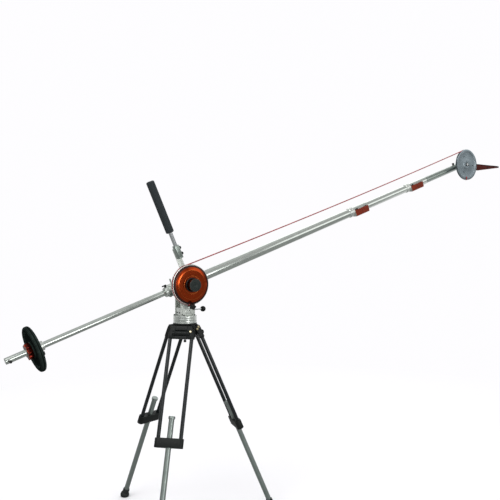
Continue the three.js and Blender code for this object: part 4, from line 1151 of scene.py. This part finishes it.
crown()
tie_down()
pan_base()
turn_base()
cheek("yoke_near", -1, [ngon(STUD_R + GAP, 24, 0, STAR_LEVEL)], ((9.3, -129.7), (-30, -149)))
cheek("yoke_far", 1, [], ((26, -129.7), (-26, -129.7)))
pan_lever()
star_knob()
pivot_axle()
drag_disc()
hub_knob()
head_pulley()
handle()
head_block()
rear_lever()
boom()
cords()
far_end()
platform()
rear()
weight()
for leg_name, leg_turn in zip(LEGS, LEG_TURNS):
    leg(leg_name, leg_turn)


# Stage
BACKDROP = (0.99, 0.984, 1, 1)
LIT_STRIPS = (
    (1.8, (0.15, 0.55, 0.05), (-1.12, -0.5, 0.04)),
    (1.6, (-0.5, 0.42, 0.06), (-1.56, -1.28, 0.04)),
)


def rays(tree, others, mirrored, seen):
    """What most rays get, what metal and glass show and what the camera sees."""
    path = tree.add("LightPath").outputs
    glossy = tree.maths("MAXIMUM", path["Is Glossy Ray"], path["Is Transmission Ray"])
    return tree.blend(path["Is Camera Ray"], tree.blend(glossy, others, mirrored), seen)


def stage():
    """A pale floor that keeps the shadow. Metal shows it pale behind the crane and darker before it."""
    mesh = bpy.data.meshes.new("floor")
    work = bmesh.new()
    bmesh.ops.create_circle(work, cap_ends=True, segments=96, radius=30)
    work.to_mesh(mesh)
    work.free()
    floor = bpy.data.objects.new("floor", mesh)
    bpy.context.scene.collection.objects.link(floor)
    floor.location.z = -0.5 * MM
    tree = Tree(bpy.data.materials.new("floor"), cleared=True)

    def plain(kind, colour):
        return tree.add(kind, {"Color": colour}).outputs[0]

    coords = tree.place()
    pale, white = plain("BsdfDiffuse", (0.93, 0.925, 0.94, 1)), plain("Emission", BACKDROP)
    sweep_look = tree.blend(tree.span(tree.vector_maths("LENGTH", coords)["Value"], 1.0, 3.6), pale, white)
    behind = tree.span(tree.vector_maths("DOT_PRODUCT", coords, SIGHT)["Value"], 1.5, 3.5)
    mirrored = tree.blend(behind, plain("BsdfDiffuse", (0.34, 0.35, 0.345, 1)), sweep_look)
    shown = rays(tree, plain("BsdfDiffuse", grey(0.4)), mirrored, sweep_look)
    tree.add("OutputMaterial", {"Surface": shown})
    mesh.materials.append(tree.owner)


def world():
    """White behind the crane. Metal and glass also show a dim room with two lit strips before it."""
    made = bpy.data.worlds.new("studio")
    bpy.context.scene.world = made
    tree = Tree(made, cleared=True)
    coords = tree.add("TexCoord").outputs["Generated"]
    split = tree.add("SeparateXYZ", {0: coords}).outputs
    height, bearing = split["Z"], tree.maths("ARCTAN2", split["Y"], split["X"])

    def band(value, low, high, soft):
        rise = tree.span(value, low - soft, low + soft)
        return tree.maths("MULTIPLY", rise, tree.span(value, high - soft, high + soft, 1, 0))

    ambient = tree.mix(tree.span(height, -1, 1), grey(0.26), (0.9, 0.9, 0.91, 1))
    room = tree.mix(tree.span(height, 0.2, 0.95), (0.36, 0.37, 0.37, 1), (0.72, 0.73, 0.73, 1))
    for strength, heights, bearings in LIT_STRIPS:
        lit = tree.maths("MULTIPLY", band(height, *heights), band(bearing, *bearings))
        room = tree.mix(lit, room, grey(strength))
    behind = tree.vector_maths("DOT_PRODUCT", coords, SIGHT)["Value"]
    mirrored = tree.mix(tree.span(behind, 0.75, 0.97), room, BACKDROP)
    colours = (ambient, mirrored, BACKDROP)
    looks = [tree.add("Background", {"Color": colour}).outputs[0] for colour in colours]
    tree.add("OutputWorld", {"Surface": rays(tree, *looks)})


def lamp(name, direction, strength, spread):
    data = bpy.data.lights.new(name, "SUN")
    data.energy = strength
    data.angle = radians(spread)
    made = bpy.data.objects.new(name, data)
    bpy.context.scene.collection.objects.link(made)
    made.rotation_mode = "QUATERNION"
    made.rotation_quaternion = Vector(direction).to_track_quat("Z", "Y")


stage()
world()
lamp("key", (-0.6, -0.35, 0.72), 1.1, 38)
lamp("front", (0.07, -0.99, 0), 1, 30)
lamp("back", (0.5, 0.6, 0.5), 0.4, 40)

bpy.context.scene.view_settings.view_transform = "Standard"
